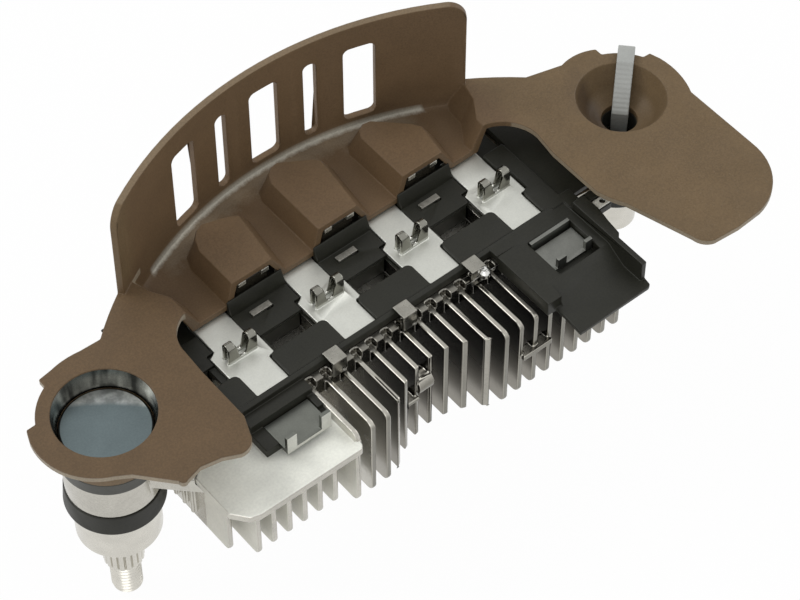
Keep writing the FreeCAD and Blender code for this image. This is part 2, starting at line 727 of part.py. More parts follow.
# Terminals with folded forks
for n in range(4):
    middle = v.terminal_first + v.terminal_pitch * n
    body = doc.addObject("PartDesign::Body", f"terminal_body_{n + 1}")
    plate = body_sketch(body, f"terminal_outline_{n + 1}", "XY_Plane", [[
        (-v.tail_half, v.tail_end),
        (-v.tail_half, v.pad_rear),
        (-v.pad_half, v.pad_rear - 0.8),
        (-v.pad_half, -v.pad_front),
        (-v.tip_half, -v.pad_front),
        (-v.tip_half, -v.tip_end),
        (v.tip_half, -v.tip_end),
        (v.tip_half, -v.pad_front),
        (v.pad_half, -v.pad_front),
        (v.pad_half, v.pad_rear - 0.8),
        (v.tail_half, v.pad_rear),
        (v.tail_half, v.tail_end),
    ]], "-terminal_top - terminal_thick")
    plate_pad = body.newObject("PartDesign::Pad", f"terminal_pad_{n + 1}")
    plate_pad.Profile = plate
    plate_pad.setExpression("Length", formula("terminal_thick"))
    base = -v.terminal_top
    top = base + v.fork_height
    front = -v.fork_front
    rear = front + v.fork_depth
    leaf = v.fork_leaf
    bend = v.fork_depth / 2
    hood = bend - leaf
    fold = body_sketch(body, f"fork_fold_{n + 1}", "YZ_Plane", [[
        (front, base - 0.3),
        (front + leaf, base - 0.3),
        (front + leaf, top - bend),
        (front + leaf + hood * 0.6, top - leaf * 1.3),
        (rear - leaf - hood * 0.6, top - leaf * 1.3),
        (rear - leaf, top - bend),
        (rear - leaf, base - 0.3),
        (rear, base - 0.3),
        (rear, top - bend),
        (rear - bend * 0.3, top - bend * 0.3),
        (rear - bend * 0.8, top),
        (front + bend * 0.8, top),
        (front + bend * 0.3, top - bend * 0.3),
        (front, top - bend),
    ]], "-fork_half")
    fold_pad = body.newObject("PartDesign::Pad", f"fork_pad_{n + 1}")
    fold_pad.Profile = fold
    fold_pad.setExpression("Length", formula("2 * fork_half"))
    notch = body_sketch(body, f"fork_notch_{n + 1}", "XZ_Plane", [[
        (-1.9, top + 1.0),
        (-1.3, top - 1.2),
        (-0.7, base + 1.2),
        (-0.3, base + 0.8),
        (0.3, base + 0.8),
        (0.7, base + 1.2),
        (1.3, top - 1.2),
        (1.9, top + 1.0),
    ]])
    notch_cut = body.newObject("PartDesign::Pocket", f"fork_pocket_{n + 1}")
    notch_cut.Profile = notch
    notch_cut.Midplane = True
    notch_cut.Length = 20
    body.Placement = Placement(Vector(middle, 0, 0), Rotation())
    finish(body, f"phase_terminal_{n + 1}")

# Diodes: a black block under each bridge and a potted cup in the deck
for n, centre in enumerate(DIODES, start=1):
    across = (f"{centre} - diode_half", f"{centre} + diode_half")
    under = (f"{centre} - block_half", f"{centre} + block_half")
    rear = "block_rear" if n > 1 else "block_short"
    body = block(f"block_body_{n}", under, ("block_front", rear),
                 ("-terminal_top - terminal_thick", "-sheet - block_gap"))
    finish(body, f"negative_diode_{n}")
    seat = block(f"seat_plate_{n}", under, ("block_front + 0.9", rear), ("-sheet - block_gap", "-sheet"))
    lugs = []
    for side, offset in enumerate((-3.5, 1.7)):
        lugs.append(block(f"seat_lug_{n}_{side + 1}", (f"{centre + offset}", f"{centre + offset + 1.7}"),
                          ("block_front - 0.8", "block_front + 1.2"), ("-sheet - block_gap", "-sheet")))
    finish(fuse(f"seat_body_{n}", [seat] + lugs), f"negative_diode_base_{n}")
    cup = block(f"cup_blank_{n}", across, ("cup_front", "cup_rear"), ("-pocket_deep", "-cup_rim"))
    cup_room = block(f"cup_room_{n}", (across[0] + " + cup_wall", across[1] + " - cup_wall"),
                     ("cup_front + cup_wall", "cup_rear - cup_wall"), ("-pocket_deep + cup_wall", "0"))
    finish(cut(f"cup_shell_{n}", cup, [cup_room]), f"positive_diode_cup_{n}")
    potting = block(f"potting_body_{n}", (across[0] + " + cup_wall", across[1] + " - cup_wall"),
                    ("cup_front + cup_wall", "cup_rear - cup_wall"), ("-pocket_deep + cup_wall", "-cup_rim - 0.3"))
    finish(potting, f"positive_diode_{n}")
    lead_flat = block(f"lead_flat_{n}", (f"{centre} - 3.4", f"{centre} + 1.0"), ("cup_rear - 1.8", "cup_rear - cup_wall"),
                      ("-cover_top", "-cover_top + 0.5"))
    lead_foot = block(f"lead_foot_{n}", (f"{centre} - 0.2", f"{centre} + 1.0"),
                      ("cup_rear - 1.8", "cup_rear - cup_wall"), ("-cup_rim - 0.3", "-cover_top + 0.5"))
    finish(fuse(f"lead_body_{n}", [lead_flat, lead_foot]), f"positive_diode_lead_{n}")

# Moulded frame around the terminals
base_low = "-deck_top"
base_high = "-terminal_top - terminal_thick"
bottom = block("frame_base", ("frame_left", "frame_right"), ("-frame_front", "frame_rear"), (base_low, base_high))
openings = []
covers = []
step = v.pad_half - v.tail_half
for n, centre in enumerate(DIODES, start=1):
    openings.append(block(f"frame_pocket_{n}", (f"{centre} - diode_half - fit", f"{centre} + diode_half + fit"),
                          ("-pocket_front", "ledge_front"), ("-deck_top - 1", base_high)))
    openings.append(block(f"lead_slot_{n}", (f"{centre} - 0.2 - fit", f"{centre} + 1.0 + fit"),
                          ("cup_rear - 1.8 - fit", "cup_rear - cup_wall + fit"), (base_low, "0")))
    next_edge = v.terminal_first + v.terminal_pitch * (n - 1) - v.tail_half - v.fit
    last_edge = next_edge - v.terminal_pitch + 2 * (v.tail_half + v.fit) if n > 1 else centre - v.diode_half - v.fit
    last_step = last_edge + step if n > 1 else last_edge
    covers.append(prism(f"diode_cover_{n}", [[
        (last_step, v.cover_front),
        (next_edge - step, v.cover_front),
        (next_edge - step, v.pad_rear + v.fit),
        (next_edge, v.pad_rear + v.fit),
        (next_edge, v.ledge_front + 0.8),
        (last_edge, v.ledge_front + 0.8),
        (last_edge, v.pad_rear + v.fit),
        (last_step, v.pad_rear + v.fit),
    ]], (base_high, "-cover_top")))
    if n > 1:
        ledge = (f"{last_edge}", f"{next_edge}")
        covers.append(block(f"rear_ledge_{n}", ledge, ("ledge_front", "ledge_rear"), (base_low, "-ledge_top")))
        low_wedge = [(last_edge, v.ledge_front), (next_edge, v.ledge_front), (next_edge, v.ledge_rear),
                     (last_edge, v.ledge_rear)]
        high_wedge = [(x, max(y, v.ledge_rear - 0.2)) for x, y in low_wedge]
        covers.append(tapered(f"rear_wedge_{n}", low_wedge, high_wedge, ("-ledge_top", "-ledge_top + 2.4")))
bar_steps = [
    (v.cradle_left, -v.frame_front),
    (v.frame_right, -v.frame_front),
    (v.frame_right, -v.pad_front),
    (v.cradle_left, -v.pad_front),
]
bar = prism("front_bar", [bar_steps], (base_high, "-frame_top - frame_lip * 0.7"))
crest_steps = [(x, y + (v.frame_lip if y < -v.pad_front else 0.0)) for x, y in bar_steps]
lip = tapered("bar_crown", bar_steps, crest_steps, ("-frame_top - frame_lip * 0.7", "-frame_top"))
slots_front = []
for n in range(4):
    middle = v.terminal_first + v.terminal_pitch * n
    half = v.tip_half
    round_x = 1.2
    slots_front.append(prism(f"bar_slot_{n + 1}", [[
        (middle - half, -v.tip_end),
        (middle + half, -v.tip_end),
        (middle + half, -v.pad_front - round_x),
        ((middle + half + round_x * (1 - turn45), -v.pad_front - round_x * (1 - turn45)),
         (middle + half + round_x, -v.pad_front)),
        (middle + half + round_x, -v.pad_front + 1.0),
        (middle - half - round_x, -v.pad_front + 1.0),
        (middle - half - round_x, -v.pad_front),
        ((middle - half - round_x * (1 - turn45), -v.pad_front - round_x * (1 - turn45)),
         (middle - half, -v.pad_front - round_x)),
    ]], (base_high, "0")))
end_edge = v.terminal_first + 3 * v.terminal_pitch + v.pad_half + v.fit
end_block = prism("right_block", [[
    (end_edge, -v.frame_front),
    (v.frame_right, -v.frame_front),
    (v.frame_right, v.ledge_front),
    (end_edge - step, v.ledge_front),
    (end_edge - step, v.pad_rear + v.fit),
    (end_edge, v.pad_rear + v.fit),
]], (base_low, "-frame_top"))
apron = prism("right_apron", [[
    (v.frame_right, -v.frame_front + 1.0),
    (v.apron_right, -v.frame_front + 1.0),
    (v.apron_right, 11.0),
    (v.frame_right + 0.8, 11.0),
    (v.frame_right + 0.8, v.ledge_front),
    (v.frame_right, v.ledge_front),
]], (base_low, "-apron_top"))
left_block = block("left_block", ("frame_left", "diode_first - diode_half - fit"), ("-pocket_front", "block_front"),
                   (base_low, "-frame_top - 1.4"))
cradle = block("cradle", ("cradle_left", "cradle_right"), ("-cradle_front", "-deck_front"),
               ("-shelf_top", "-cradle_floor"))
cradle_side = block("cradle_side", ("cradle_left", "cradle_left + cradle_wall"), ("-cradle_front", "-deck_front"),
                    ("-shelf_top", "-cradle_floor + contact"))
cradle_post = block("cradle_post", ("cradle_right - 1.4", "cradle_right"), ("-deck_front - 4.0", "-deck_front"),
                    ("-shelf_top", "-cradle_floor + 1.2"))
cradle_back = block("cradle_back", ("cradle_left", "cradle_right"), ("-deck_front - 0.9", "-deck_front"),
                    ("-shelf_top", base_high))
cradle_neck = block("cradle_neck", ("cradle_left", "cradle_right"), ("-deck_front - 0.9", "-frame_front + 1"),
                    (base_low, base_high))
tray_floor = prism("tray_floor", [[
    (v.tray_left + 1.9, -26.0),
    (v.tray_left + 1.9, -30.3),
    (v.tray_left + 1.6, -35.0),
    (v.tray_wall + 0.2, -35.0),
    (v.tray_wall + 0.9, -34.6),
    (v.tray_wall + 1.1, -33.2),
    (v.tray_wall + 1.1, -26.0),
]], ("-tray_bottom", "-tray_floor"))
ramp = [(v.tray_left + 3.3, -28.4), (v.tray_wall + 0.3, -28.4), (v.tray_wall + 0.3, -20.0), (v.tray_left + 3.3, -20.0)]
tray_ramp = tapered("tray_ramp", ramp, [(x, max(y, -24.0)) for x, y in ramp], ("-tray_floor", "-tray_top"))
tray_strip = block("tray_strip", ("tray_left", "tray_left + 3.3"), ("-27.8", "-deck_front - 0.3"),
                   ("-tray_bottom", "-tray_top"))
tray_block = block("tray_block", ("tray_left + 3.3", "tray_wall + 0.6"), ("-28.4", "-deck_front - 0.3"),
                   ("-tray_bottom", "-tray_floor"))
tray_body = block("tray_body", ("tray_left + 3.3", "tray_wall + 0.6"), ("-24", "-deck_front - 0.3"),
                  ("-tray_floor", "-tray_top"))
tray_neck = block("tray_neck", ("tray_left", "tray_wall"), ("-deck_front - 0.5", "-frame_front + 1"),
                  (base_low, "-tray_top"))
tray_side = prism("tray_side", [[
    (v.tray_wall, -33.0),
    (v.tray_wall + 1.1, -33.0),
    (v.tray_wall + 1.1, -25.4),
    (v.tray_wall + 1.9, -24.6),
    (v.tray_wall + 2.3, -21.2),
    (v.tray_wall + 2.9, -18.0),
    (v.tray_wall + 2.9, -v.deck_front - 0.3),
    (v.tray_wall, -v.deck_front - 0.3),
]], ("-tray_bottom", "-tray_ridge"))
side_neck = block("side_neck", ("tray_wall", "tray_wall + 2.9"), ("-deck_front - 0.5", "-frame_front + 2"),
                  (base_low, "-frame_top"))
lug_seat = block("lug_seat", ("tray_wall + 1.2", "frame_right + 5.9"), ("-17.6", "-15.3"), ("-7.4", "-5.7"))
lug_post = block("lug_post", ("tray_wall + 1.2", "frame_right + 5.1"), ("-15.3", "-deck_front"), ("-7.4", "-4.6"))
window = block("tray_window", ("window_left", "window_right"), ("-window_front", "-window_rear"),
               ("-tray_floor + 0.6", "0"))
frame_solid = fuse("frame_blank", [bottom, bar, lip, end_block, apron, left_block, cradle, cradle_side, cradle_post,
                                   cradle_back, cradle_neck, tray_floor, tray_ramp, tray_strip, tray_block, tray_body,
                                   tray_neck, tray_side, side_neck, lug_seat, lug_post] + covers)
front_clear = block("shelf_relief", ("frame_left - 1", "cradle_left"), ("-frame_front - 1", "-pocket_front"),
                    ("-deck_top - 1", "0"))
finish(cut("frame_body", frame_solid, openings + slots_front + [window, front_clear]), "terminal_frame")

# Contact plates
left_plate = block("left_plate", ("cradle_left + cradle_wall", "cradle_right - 1.5"),
                   ("-contact_front", "-contact_rear"), ("-cradle_floor", "-cradle_floor + contact"))
tabs = []
for n, start in enumerate(("cradle_left + cradle_wall", "cradle_right - 1.5 - tab_width"), start=1):
    tabs.append(block(f"left_tab_{n}", (start, start + " + tab_width"), ("-contact_front", "-contact_front + contact"),
                      ("-cradle_floor", "-cradle_floor + contact_tab")))
finish(fuse("left_contact_body", [left_plate] + tabs), "left_contact_plate")
right_plate = block("right_plate", ("window_left + fit", "window_right - fit"),
                    ("-window_front + 1.8", "-window_rear - 1.4"), ("-tray_floor + 0.6", "-tray_floor + 0.6 + contact"))
right_tabs = []
for n, (low_x, high_x) in enumerate((("window_left + 1.2", "window_left + 3.3"),
                                     ("window_right - fit - 1.7", "window_right - fit")), start=1):
    right_tabs.append(block(f"right_tab_{n}", (low_x, high_x), ("-window_front + 1.8", "-window_front + 1.8 + contact"),
                            ("-tray_floor + 0.6", "-tray_top + 1.1")))
finish(fuse("right_contact_body", [right_plate] + right_tabs), "right_contact_plate")
finish(block("strip_body", ("window_left + fit", "window_right - fit"), ("-window_rear - 0.9", "-window_rear - fit"),
             ("-tray_floor + 0.6", "-tray_top + 0.4")), "right_contact_strip")

# Clips over the front bar
for n in range(3):
    start = v.clip_first + v.clip_pitch * n
    across = (f"{start} - clip_width / 2", f"{start} + clip_width / 2")
    cap = block(f"clip_cap_{n + 1}", across, ("-frame_front - clip_reach", "-frame_front + frame_lip + 0.2"),
                ("-frame_top", "-frame_top + clip_sheet"))
    drop = block(f"clip_drop_{n + 1}", across, ("-frame_front - clip_reach", "-frame_front - clip_reach + clip_sheet"),
                 ("-clip_foot", "-frame_top + clip_sheet"))
    eye = prism(f"clip_eye_{n + 1}", [[(start + 0.5, -v.frame_front - v.clip_reach - 1.0),
                                       (start + 1.5, -v.frame_front - v.clip_reach - 1.0),
                                       (start + 1.5, -v.frame_front - v.clip_reach + 1.0),
                                       (start + 0.5, -v.frame_front - v.clip_reach + 1.0)]],
                ("-clip_foot + 0.4", "-clip_foot + 1.4"))
    clip = cut(f"clip_body_{n + 1}", fuse(f"clip_blank_{n + 1}", [cap, drop]), [eye])
    if n == 2:
        bead = turned("solder_bead", [[
            (0.0, -v.bead_radius),
            (v.bead_radius * 0.5, -v.bead_radius),
            (v.bead_radius, -v.bead_radius * 0.4),
            (v.bead_radius, v.bead_radius * 0.4),
            (v.bead_radius * 0.5, v.bead_radius),
            (0.0, v.bead_radius),
        ]], f"{start} + 0.8", "-frame_front - 3.1")
        bead.setExpression("Placement.Base.z", formula("-frame_top - 0.6"))
        clip = fuse("clip_with_bead", [clip, bead])
    finish(clip, f"frame_clip_{n + 1}")

# Small lug beside the right ear
lug = block("lug_blank", ("tray_wall + 2.9", "frame_right + 5.9"), ("-17.4", "-15.4"), ("-5.7", "-5.2"))
lug_hole = rod("lug_hole", "frame_right + 4.6", "-16.4", ("-tray_top - 1", "0"), "0.6")
finish(cut("lug_body", lug, [lug_hole]), "sense_lug")

# Strap looped through the right bore and over the scalloped rim of the ear
rim = v.scallop_radius - 0.5
side = v.bolt_radius - 1.1
gap = v.fit
room = v.strap_thick + gap
loop = doc.addObject("Part::Feature", "strap_loop")
inside = [
    (side, -v.sleeve_end - gap),
    (side, -v.dish_depth - 0.6),
    (v.dish_radius - 0.3, gap),
    (rim + gap, gap),
    (rim + gap, -v.boss_bottom - 2.5),
    (v.sleeve_radius + gap, -v.sleeve_end - gap),
]
outside = [
    (side - v.strap_thick, -v.sleeve_end - room),
    (side - v.strap_thick, -v.dish_depth - 0.2),
    (v.dish_radius - 1.0, room),
    (rim + gap, room),
    ((rim + gap + v.strap_thick * turn45, gap + v.strap_thick * turn45), (rim + room, gap)),
    (rim + room, -v.boss_bottom - 2.9),
    (v.sleeve_radius + room, -v.sleeve_end - room),
]
faces = [Part.Face(Part.Wire([curve.toShape() for curve in outline(steps)])) for steps in (outside, inside)]
band = faces[0].cut(faces[1])
band.rotate(Vector(0, 0, 0), Vector(1, 0, 0), 90)
band.translate(Vector(0, v.strap_width / 2, 0))
loop.Shape = band.extrude(Vector(0, -v.strap_width, 0))
loop.Placement = Placement(Vector(v.ear_pitch, v.dish_y, 0), Rotation(Vector(0, 0, 1), v.strap_turn))
finish(loop, "tie_strap")

doc.recompute()
for item in doc.Objects:
    if "Invalid" in item.State or "Error" in item.State:
        raise RuntimeError(f"{item.Name} failed: {item.State}")
labels = [item.Label for item in pieces]
if len(set(labels)) != len(labels):
    raise RuntimeError("two pieces share a name")
for item in pieces:
    if item.Shape.isNull() or not item.Shape.isValid():
        raise RuntimeError(f"{item.Label} has no valid shape")
for item in pieces:
    item.Shape.exportStep(f"parts/{item.Label}.step")
print(len(pieces), "pieces written")
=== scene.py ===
"""Alternator rectifier: a coated sheet plate with a slotted wall over a finned metal sink.

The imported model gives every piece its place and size. This script copies each of its meshes into
clean faces with small rounded edges, adds the forms that are too fine for the model, gives every
piece its finish and sets up a plain studio. Lengths are in metres, and the axis of the output stud
is the Z axis, with the thread starting at the origin.
"""
from __future__ import annotations

import json
import logging
import math
from dataclasses import dataclass
from enum import Enum
from typing import Callable

import bmesh
import bpy
import numpy as np
from mathutils import Matrix, Vector

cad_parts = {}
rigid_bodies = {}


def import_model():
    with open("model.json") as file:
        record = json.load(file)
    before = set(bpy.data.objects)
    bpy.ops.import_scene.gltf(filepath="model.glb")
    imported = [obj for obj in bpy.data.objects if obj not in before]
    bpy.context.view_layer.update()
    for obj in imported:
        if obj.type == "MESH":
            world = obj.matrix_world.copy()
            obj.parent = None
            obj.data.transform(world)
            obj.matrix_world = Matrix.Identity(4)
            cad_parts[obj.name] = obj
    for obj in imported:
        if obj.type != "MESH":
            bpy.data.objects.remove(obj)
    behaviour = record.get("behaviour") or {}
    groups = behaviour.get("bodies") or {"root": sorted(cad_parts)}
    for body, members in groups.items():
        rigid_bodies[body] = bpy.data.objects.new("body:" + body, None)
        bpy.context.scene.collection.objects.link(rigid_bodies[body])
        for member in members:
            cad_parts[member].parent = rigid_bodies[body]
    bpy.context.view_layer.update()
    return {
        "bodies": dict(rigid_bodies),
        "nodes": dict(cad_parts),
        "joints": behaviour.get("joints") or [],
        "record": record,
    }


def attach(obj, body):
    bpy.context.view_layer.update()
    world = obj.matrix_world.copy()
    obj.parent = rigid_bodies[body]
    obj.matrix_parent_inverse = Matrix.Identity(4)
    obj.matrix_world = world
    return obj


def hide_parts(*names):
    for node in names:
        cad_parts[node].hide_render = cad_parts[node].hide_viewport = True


log = logging.getLogger("rectifier")

MM = 0.001
WHITE = (1.0, 1.0, 1.0, 1.0)

# Middle of the arc of the plate's wall and of the bowl in its right ear, X and Y in millimetres.
WALL_CENTRE = (58.4, -43.1)
BOWL_CENTRE = (119.4, 0.0)

# Part of a noise pattern's values that is stretched over a whole range: for slow patterns, for fine
# grain, for upright streaks and for flecks.
SLOW_RANGE = (0.3, 0.7)
FINE_RANGE = (0.35, 0.65)
STREAK_RANGE = (0.4, 0.6)
FLECK_RANGE = (0.66, 0.74)

# Octaves of the finer patterns, the patterns' sizes in millimetres, the size of the gloss pattern as a
# share of the slow one, and how much grain is left on ribs.
OCTAVES = 3.0
STREAK_SIZE, STREAK_STRETCH = 2.2, (1.0, 1.0, 0.12)
WANDER_SIZE = 1.4
FLECK_SIZE = 0.34
GLOSS_SIZE_SHARE = 0.6
RIB_GRAIN = 0.1

# Edges of a copied piece that turn by more than this are rounded and are sharp in the shading, and
# those of a surface made from a grid have a limit of their own. Then the number of faces across the
# rounding of an edge and of a fin's corner.
SHARP_DEGREES = 34.0
GRID_SHARP_DEGREES = 40.0
ROUND_STEPS = 2
CORNER_STEPS = 4

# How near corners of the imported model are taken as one, how short an edge is dropped, how little faces
# turn that are joined into one, how near points of a grid are joined, and how far a corner of a level
# face may be off its height. Lengths are in metres.
JOIN_DISTANCE = 1.5e-6
SHORT_EDGE = 1e-6
FLAT_DEGREES = 0.4
GRID_JOIN_DISTANCE = 1e-7
LEVEL_GAP = 1e-5


def linear(red: float, green: float, blue: float) -> tuple[float, float, float, float]:
    """Turn a display colour of 0 to 255 into the linear colour that a shader takes.

    Args:
        red: red channel, 0 to 255.
        green: green channel, 0 to 255.
        blue: blue channel, 0 to 255.

    Returns:
        Linear red, green, blue and an alpha of 1.
    """
    values = np.array([red, green, blue], float) / 255.0
    low = values / 12.92
    high = ((values + 0.055) / 1.055) ** 2.4
    return (*np.where(values <= 0.04045, low, high).tolist(), 1.0)


class Body(Enum):
    """The one rigid body that every piece rides on."""

    ROOT = "root"


class Graph:
    """A short way to add and join the nodes of one material."""

    def __init__(self, name: str) -> None:
        """Start an empty material with its shader and output.

        Args:
            name: name of the material.
        """
        self.material = bpy.data.materials.new(name)
        self.material.use_nodes = True
        self.tree = self.material.node_tree
        self.tree.nodes.clear()
        self.shader = self.tree.nodes.new("ShaderNodeBsdfPrincipled")
        self.output = self.tree.nodes.new("ShaderNodeOutputMaterial")
        self.join(self.shader.outputs["BSDF"], self.output.inputs["Surface"])
        coordinates = self.tree.nodes.new("ShaderNodeTexCoord")
        self.place = coordinates.outputs["Object"]
        self.normal = coordinates.outputs["Normal"]

    def join(self, source: bpy.types.NodeSocket, target: bpy.types.NodeSocket) -> None:
        """Link one socket to another."""
        self.tree.links.new(source, target)

    def put(self, kind: str, settings: dict | None = None,
            inputs: dict | None = None) -> bpy.types.Node:
        """Add a node.

        Args:
            kind: Blender's type name of the node.
            settings: attributes to set on it.
            inputs: values or sockets for its inputs, by name or number.

        Returns:
            The new node.
        """
        node = self.tree.nodes.new(kind)
        for key, value in (settings or {}).items():
            setattr(node, key, value)
        for key, value in (inputs or {}).items():
            if isinstance(value, bpy.types.NodeSocket):
                self.join(value, node.inputs[key])
            else:
                node.inputs[key].default_value = value
        return node

    def maths(self, operation: str, *values: object) -> bpy.types.NodeSocket:
        """Add one arithmetic step.

        Args:
            operation: name of the operation.
            values: its values or sockets, in order.

        Returns:
            The socket that carries the result.
        """
        return self.put("ShaderNodeMath", {"operation": operation}, dict(enumerate(values))).outputs[0]

    def noise(self, size_mm: float, detail: float = 2.0,
              stretch: tuple[float, float, float] = (1.0, 1.0, 1.0)) -> bpy.types.NodeSocket:
        """Add a noise pattern on the object's own coordinates.

        Args:
            size_mm: size of its grain.
            detail: octaves of finer grain.
            stretch: how much finer the grain is along each axis.

        Returns:
            The socket of its value, 0 to 1.
        """
        mapping = self.put("ShaderNodeMapping", None, {"Vector": self.place, "Scale": stretch})
        texture = self.put("ShaderNodeTexNoise", None, {
            "Vector": mapping.outputs["Vector"], "Scale": 1.0 / (size_mm * MM), "Detail": detail,
            "Roughness": 0.5})
        return texture.outputs["Fac"]

    def ramp(self, value: bpy.types.NodeSocket, low: float, high: float, to_low: float = 0.0,
             to_high: float = 1.0) -> bpy.types.NodeSocket:
        """Stretch a range of values over another one, held at its ends.

        Args:
            value: socket to stretch.
            low: value that becomes to_low.
            high: value that becomes to_high.
            to_low: result at the low end.
            to_high: result at the high end.

        Returns:
            The socket of the result.
        """
        node = self.put("ShaderNodeMapRange", {"clamp": True}, {
            "Value": value, "From Min": low, "From Max": high, "To Min": to_low, "To Max": to_high})
        return node.outputs["Result"]

    def blend(self, share: object, first: object, second: object) -> bpy.types.NodeSocket:
        """Mix two colours.

        Args:
            share: how much of the second, as a number or a socket.
            first: first colour or socket.
            second: second colour or socket.

        Returns:
            The socket of the mixed colour.
        """
        node = self.put("ShaderNodeMix", {"data_type": "RGBA"}, {"Factor": share, 6: first, 7: second})
        return node.outputs[2]

    def scaled(self, colour: object, level: object) -> bpy.types.NodeSocket:
        """Make a colour darker or lighter by a factor."""
        node = self.put("ShaderNodeVectorMath", {"operation": "SCALE"}, {0: colour, "Scale": level})
        return node.outputs["Vector"]

    def axis(self, letter: str) -> bpy.types.NodeSocket:
        """Give one of the object's coordinates in metres."""
        return self.put("ShaderNodeSeparateXYZ", None, {0: self.place}).outputs[letter]

    def facing(self, letter: str) -> bpy.types.NodeSocket:
        """Give one part of the surface's direction on the object, -1 to 1."""
        return self.put("ShaderNodeSeparateXYZ", None, {0: self.normal}).outputs[letter]

    def distance(self, centre: tuple[float, float]) -> bpy.types.NodeSocket:
        """Give the level distance in metres from an upright axis.

        Args:
            centre: X and Y of the axis in millimetres.

        Returns:
            The socket of the distance.
        """
        moved = self.put("ShaderNodeVectorMath", {"operation": "SUBTRACT"},
                         {0: self.place, 1: (centre[0] * MM, centre[1] * MM, 0.0)})
        flat = self.put("ShaderNodeVectorMath", {"operation": "MULTIPLY"},
                        {0: moved.outputs[0], 1: (1.0, 1.0, 0.0)})
        length = self.put("ShaderNodeVectorMath", {"operation": "LENGTH"}, {0: flat.outputs[0]})
        return length.outputs["Value"]

    def mix(self, share: object, first: object, second: object) -> bpy.types.NodeSocket:
        """Mix two numbers."""
        node = self.put("ShaderNodeMix", {"data_type": "FLOAT"}, {"Factor": share, 2: first, 3: second})
        return node.outputs[0]

    def relief(self, height: bpy.types.NodeSocket, depth_mm: float) -> None:
        """Give the shader a bump.

        Args:
            height: socket of the height pattern, 0 to 1.
            depth_mm: height of the pattern.
        """
        node = self.put("ShaderNodeBump", None,
                        {"Height": height, "Strength": 1.0, "Distance": depth_mm * MM})
        self.join(node.outputs["Normal"], self.shader.inputs["Normal"])


@dataclass(frozen=True)
class Region:
    """A piece's part with its own colour and gloss, or painted light or shade, picked by place and
    facing.

    Attributes:
        colour: display colour of 0 to 255.
        roughness: roughness there.
        metallic: 1 for bare metal and 0 for coats and plastics.
        spans: lowest and highest place along each named axis in millimetres.
        facing: axis along which the surface faces, with the least and the full share of it.
        centre: X and Y of an upright axis in millimetres.
        ring: smallest and largest distance from that axis.
        soft: width over which the region fades at its bounds in millimetres.
        ragged: how far noise moves the ring's bounds in millimetres.
        strength: how much of the region's look is laid over the finish.
        streak: how dark its upright streaks are.
    """

    colour: tuple[float, float, float]
    roughness: float
    metallic: float = 1.0
    spans: tuple[tuple[str, float, float], ...] = ()
    facing: tuple[str, float, float] | None = None
    centre: tuple[float, float] = (0.0, 0.0)
    ring: tuple[float, float] | None = None
    soft: float = 0.05
    ragged: float = 0.0
    strength: float = 1.0
    streak: float = 0.0

    def look(self, graph: Graph, colour: bpy.types.NodeSocket) -> bpy.types.NodeSocket:
        """Darken the region's colour in upright streaks, where it has them.

        Args:
            graph: the material's nodes.
            colour: socket of the region's colour.

        Returns:
            The socket of the colour with its streaks.
        """
        if not self.streak:
            return colour
        pattern = graph.noise(STREAK_SIZE, stretch=STREAK_STRETCH)
        return graph.scaled(colour, graph.ramp(pattern, *STREAK_RANGE, 1.0 - self.streak, 1.0))

    def between(self, graph: Graph, value: bpy.types.NodeSocket, low: float,
                high: float) -> bpy.types.NodeSocket:
        """Tell where a length lies between two bounds, fading over the soft width.

        Args:
            graph: the material's nodes.
            value: socket of the length in metres.
            low: lower bound in millimetres.
            high: upper bound in millimetres.

        Returns:
            The socket of the share, 1 between the bounds and 0 outside.
        """
        above = graph.ramp(value, (low - self.soft) * MM, (low + self.soft) * MM)
        below = graph.ramp(value, (high - self.soft) * MM, (high + self.soft) * MM, 1.0, 0.0)
        return graph.maths("MULTIPLY", above, below)

    def mask(self, graph: Graph) -> bpy.types.NodeSocket:
        """Work out how much of the region's look each point takes.

        Args:
            graph: the material's nodes.

        Returns:
            The socket of the share, 0 to 1.
        """
        share = graph.maths("ADD", self.strength, 0.0)
        for letter, low, high in self.spans:
            share = graph.maths("MULTIPLY", share, self.between(graph, graph.axis(letter), low, high))
        if self.ring:
            far = graph.distance(self.centre)
            if self.ragged:
                wander = graph.ramp(graph.noise(WANDER_SIZE, OCTAVES), *SLOW_RANGE,
                                    -self.ragged * MM, self.ragged * MM)
                far = graph.maths("ADD", far, wander)
            share = graph.maths("MULTIPLY", share, self.between(graph, far, *self.ring))
        if self.facing:
            letter, least, full = self.facing
            turned = graph.facing(letter)
            if least >= 0:
                turned = graph.maths("ABSOLUTE", turned)
            share = graph.maths("MULTIPLY", share, graph.ramp(turned, least, full))
        return share


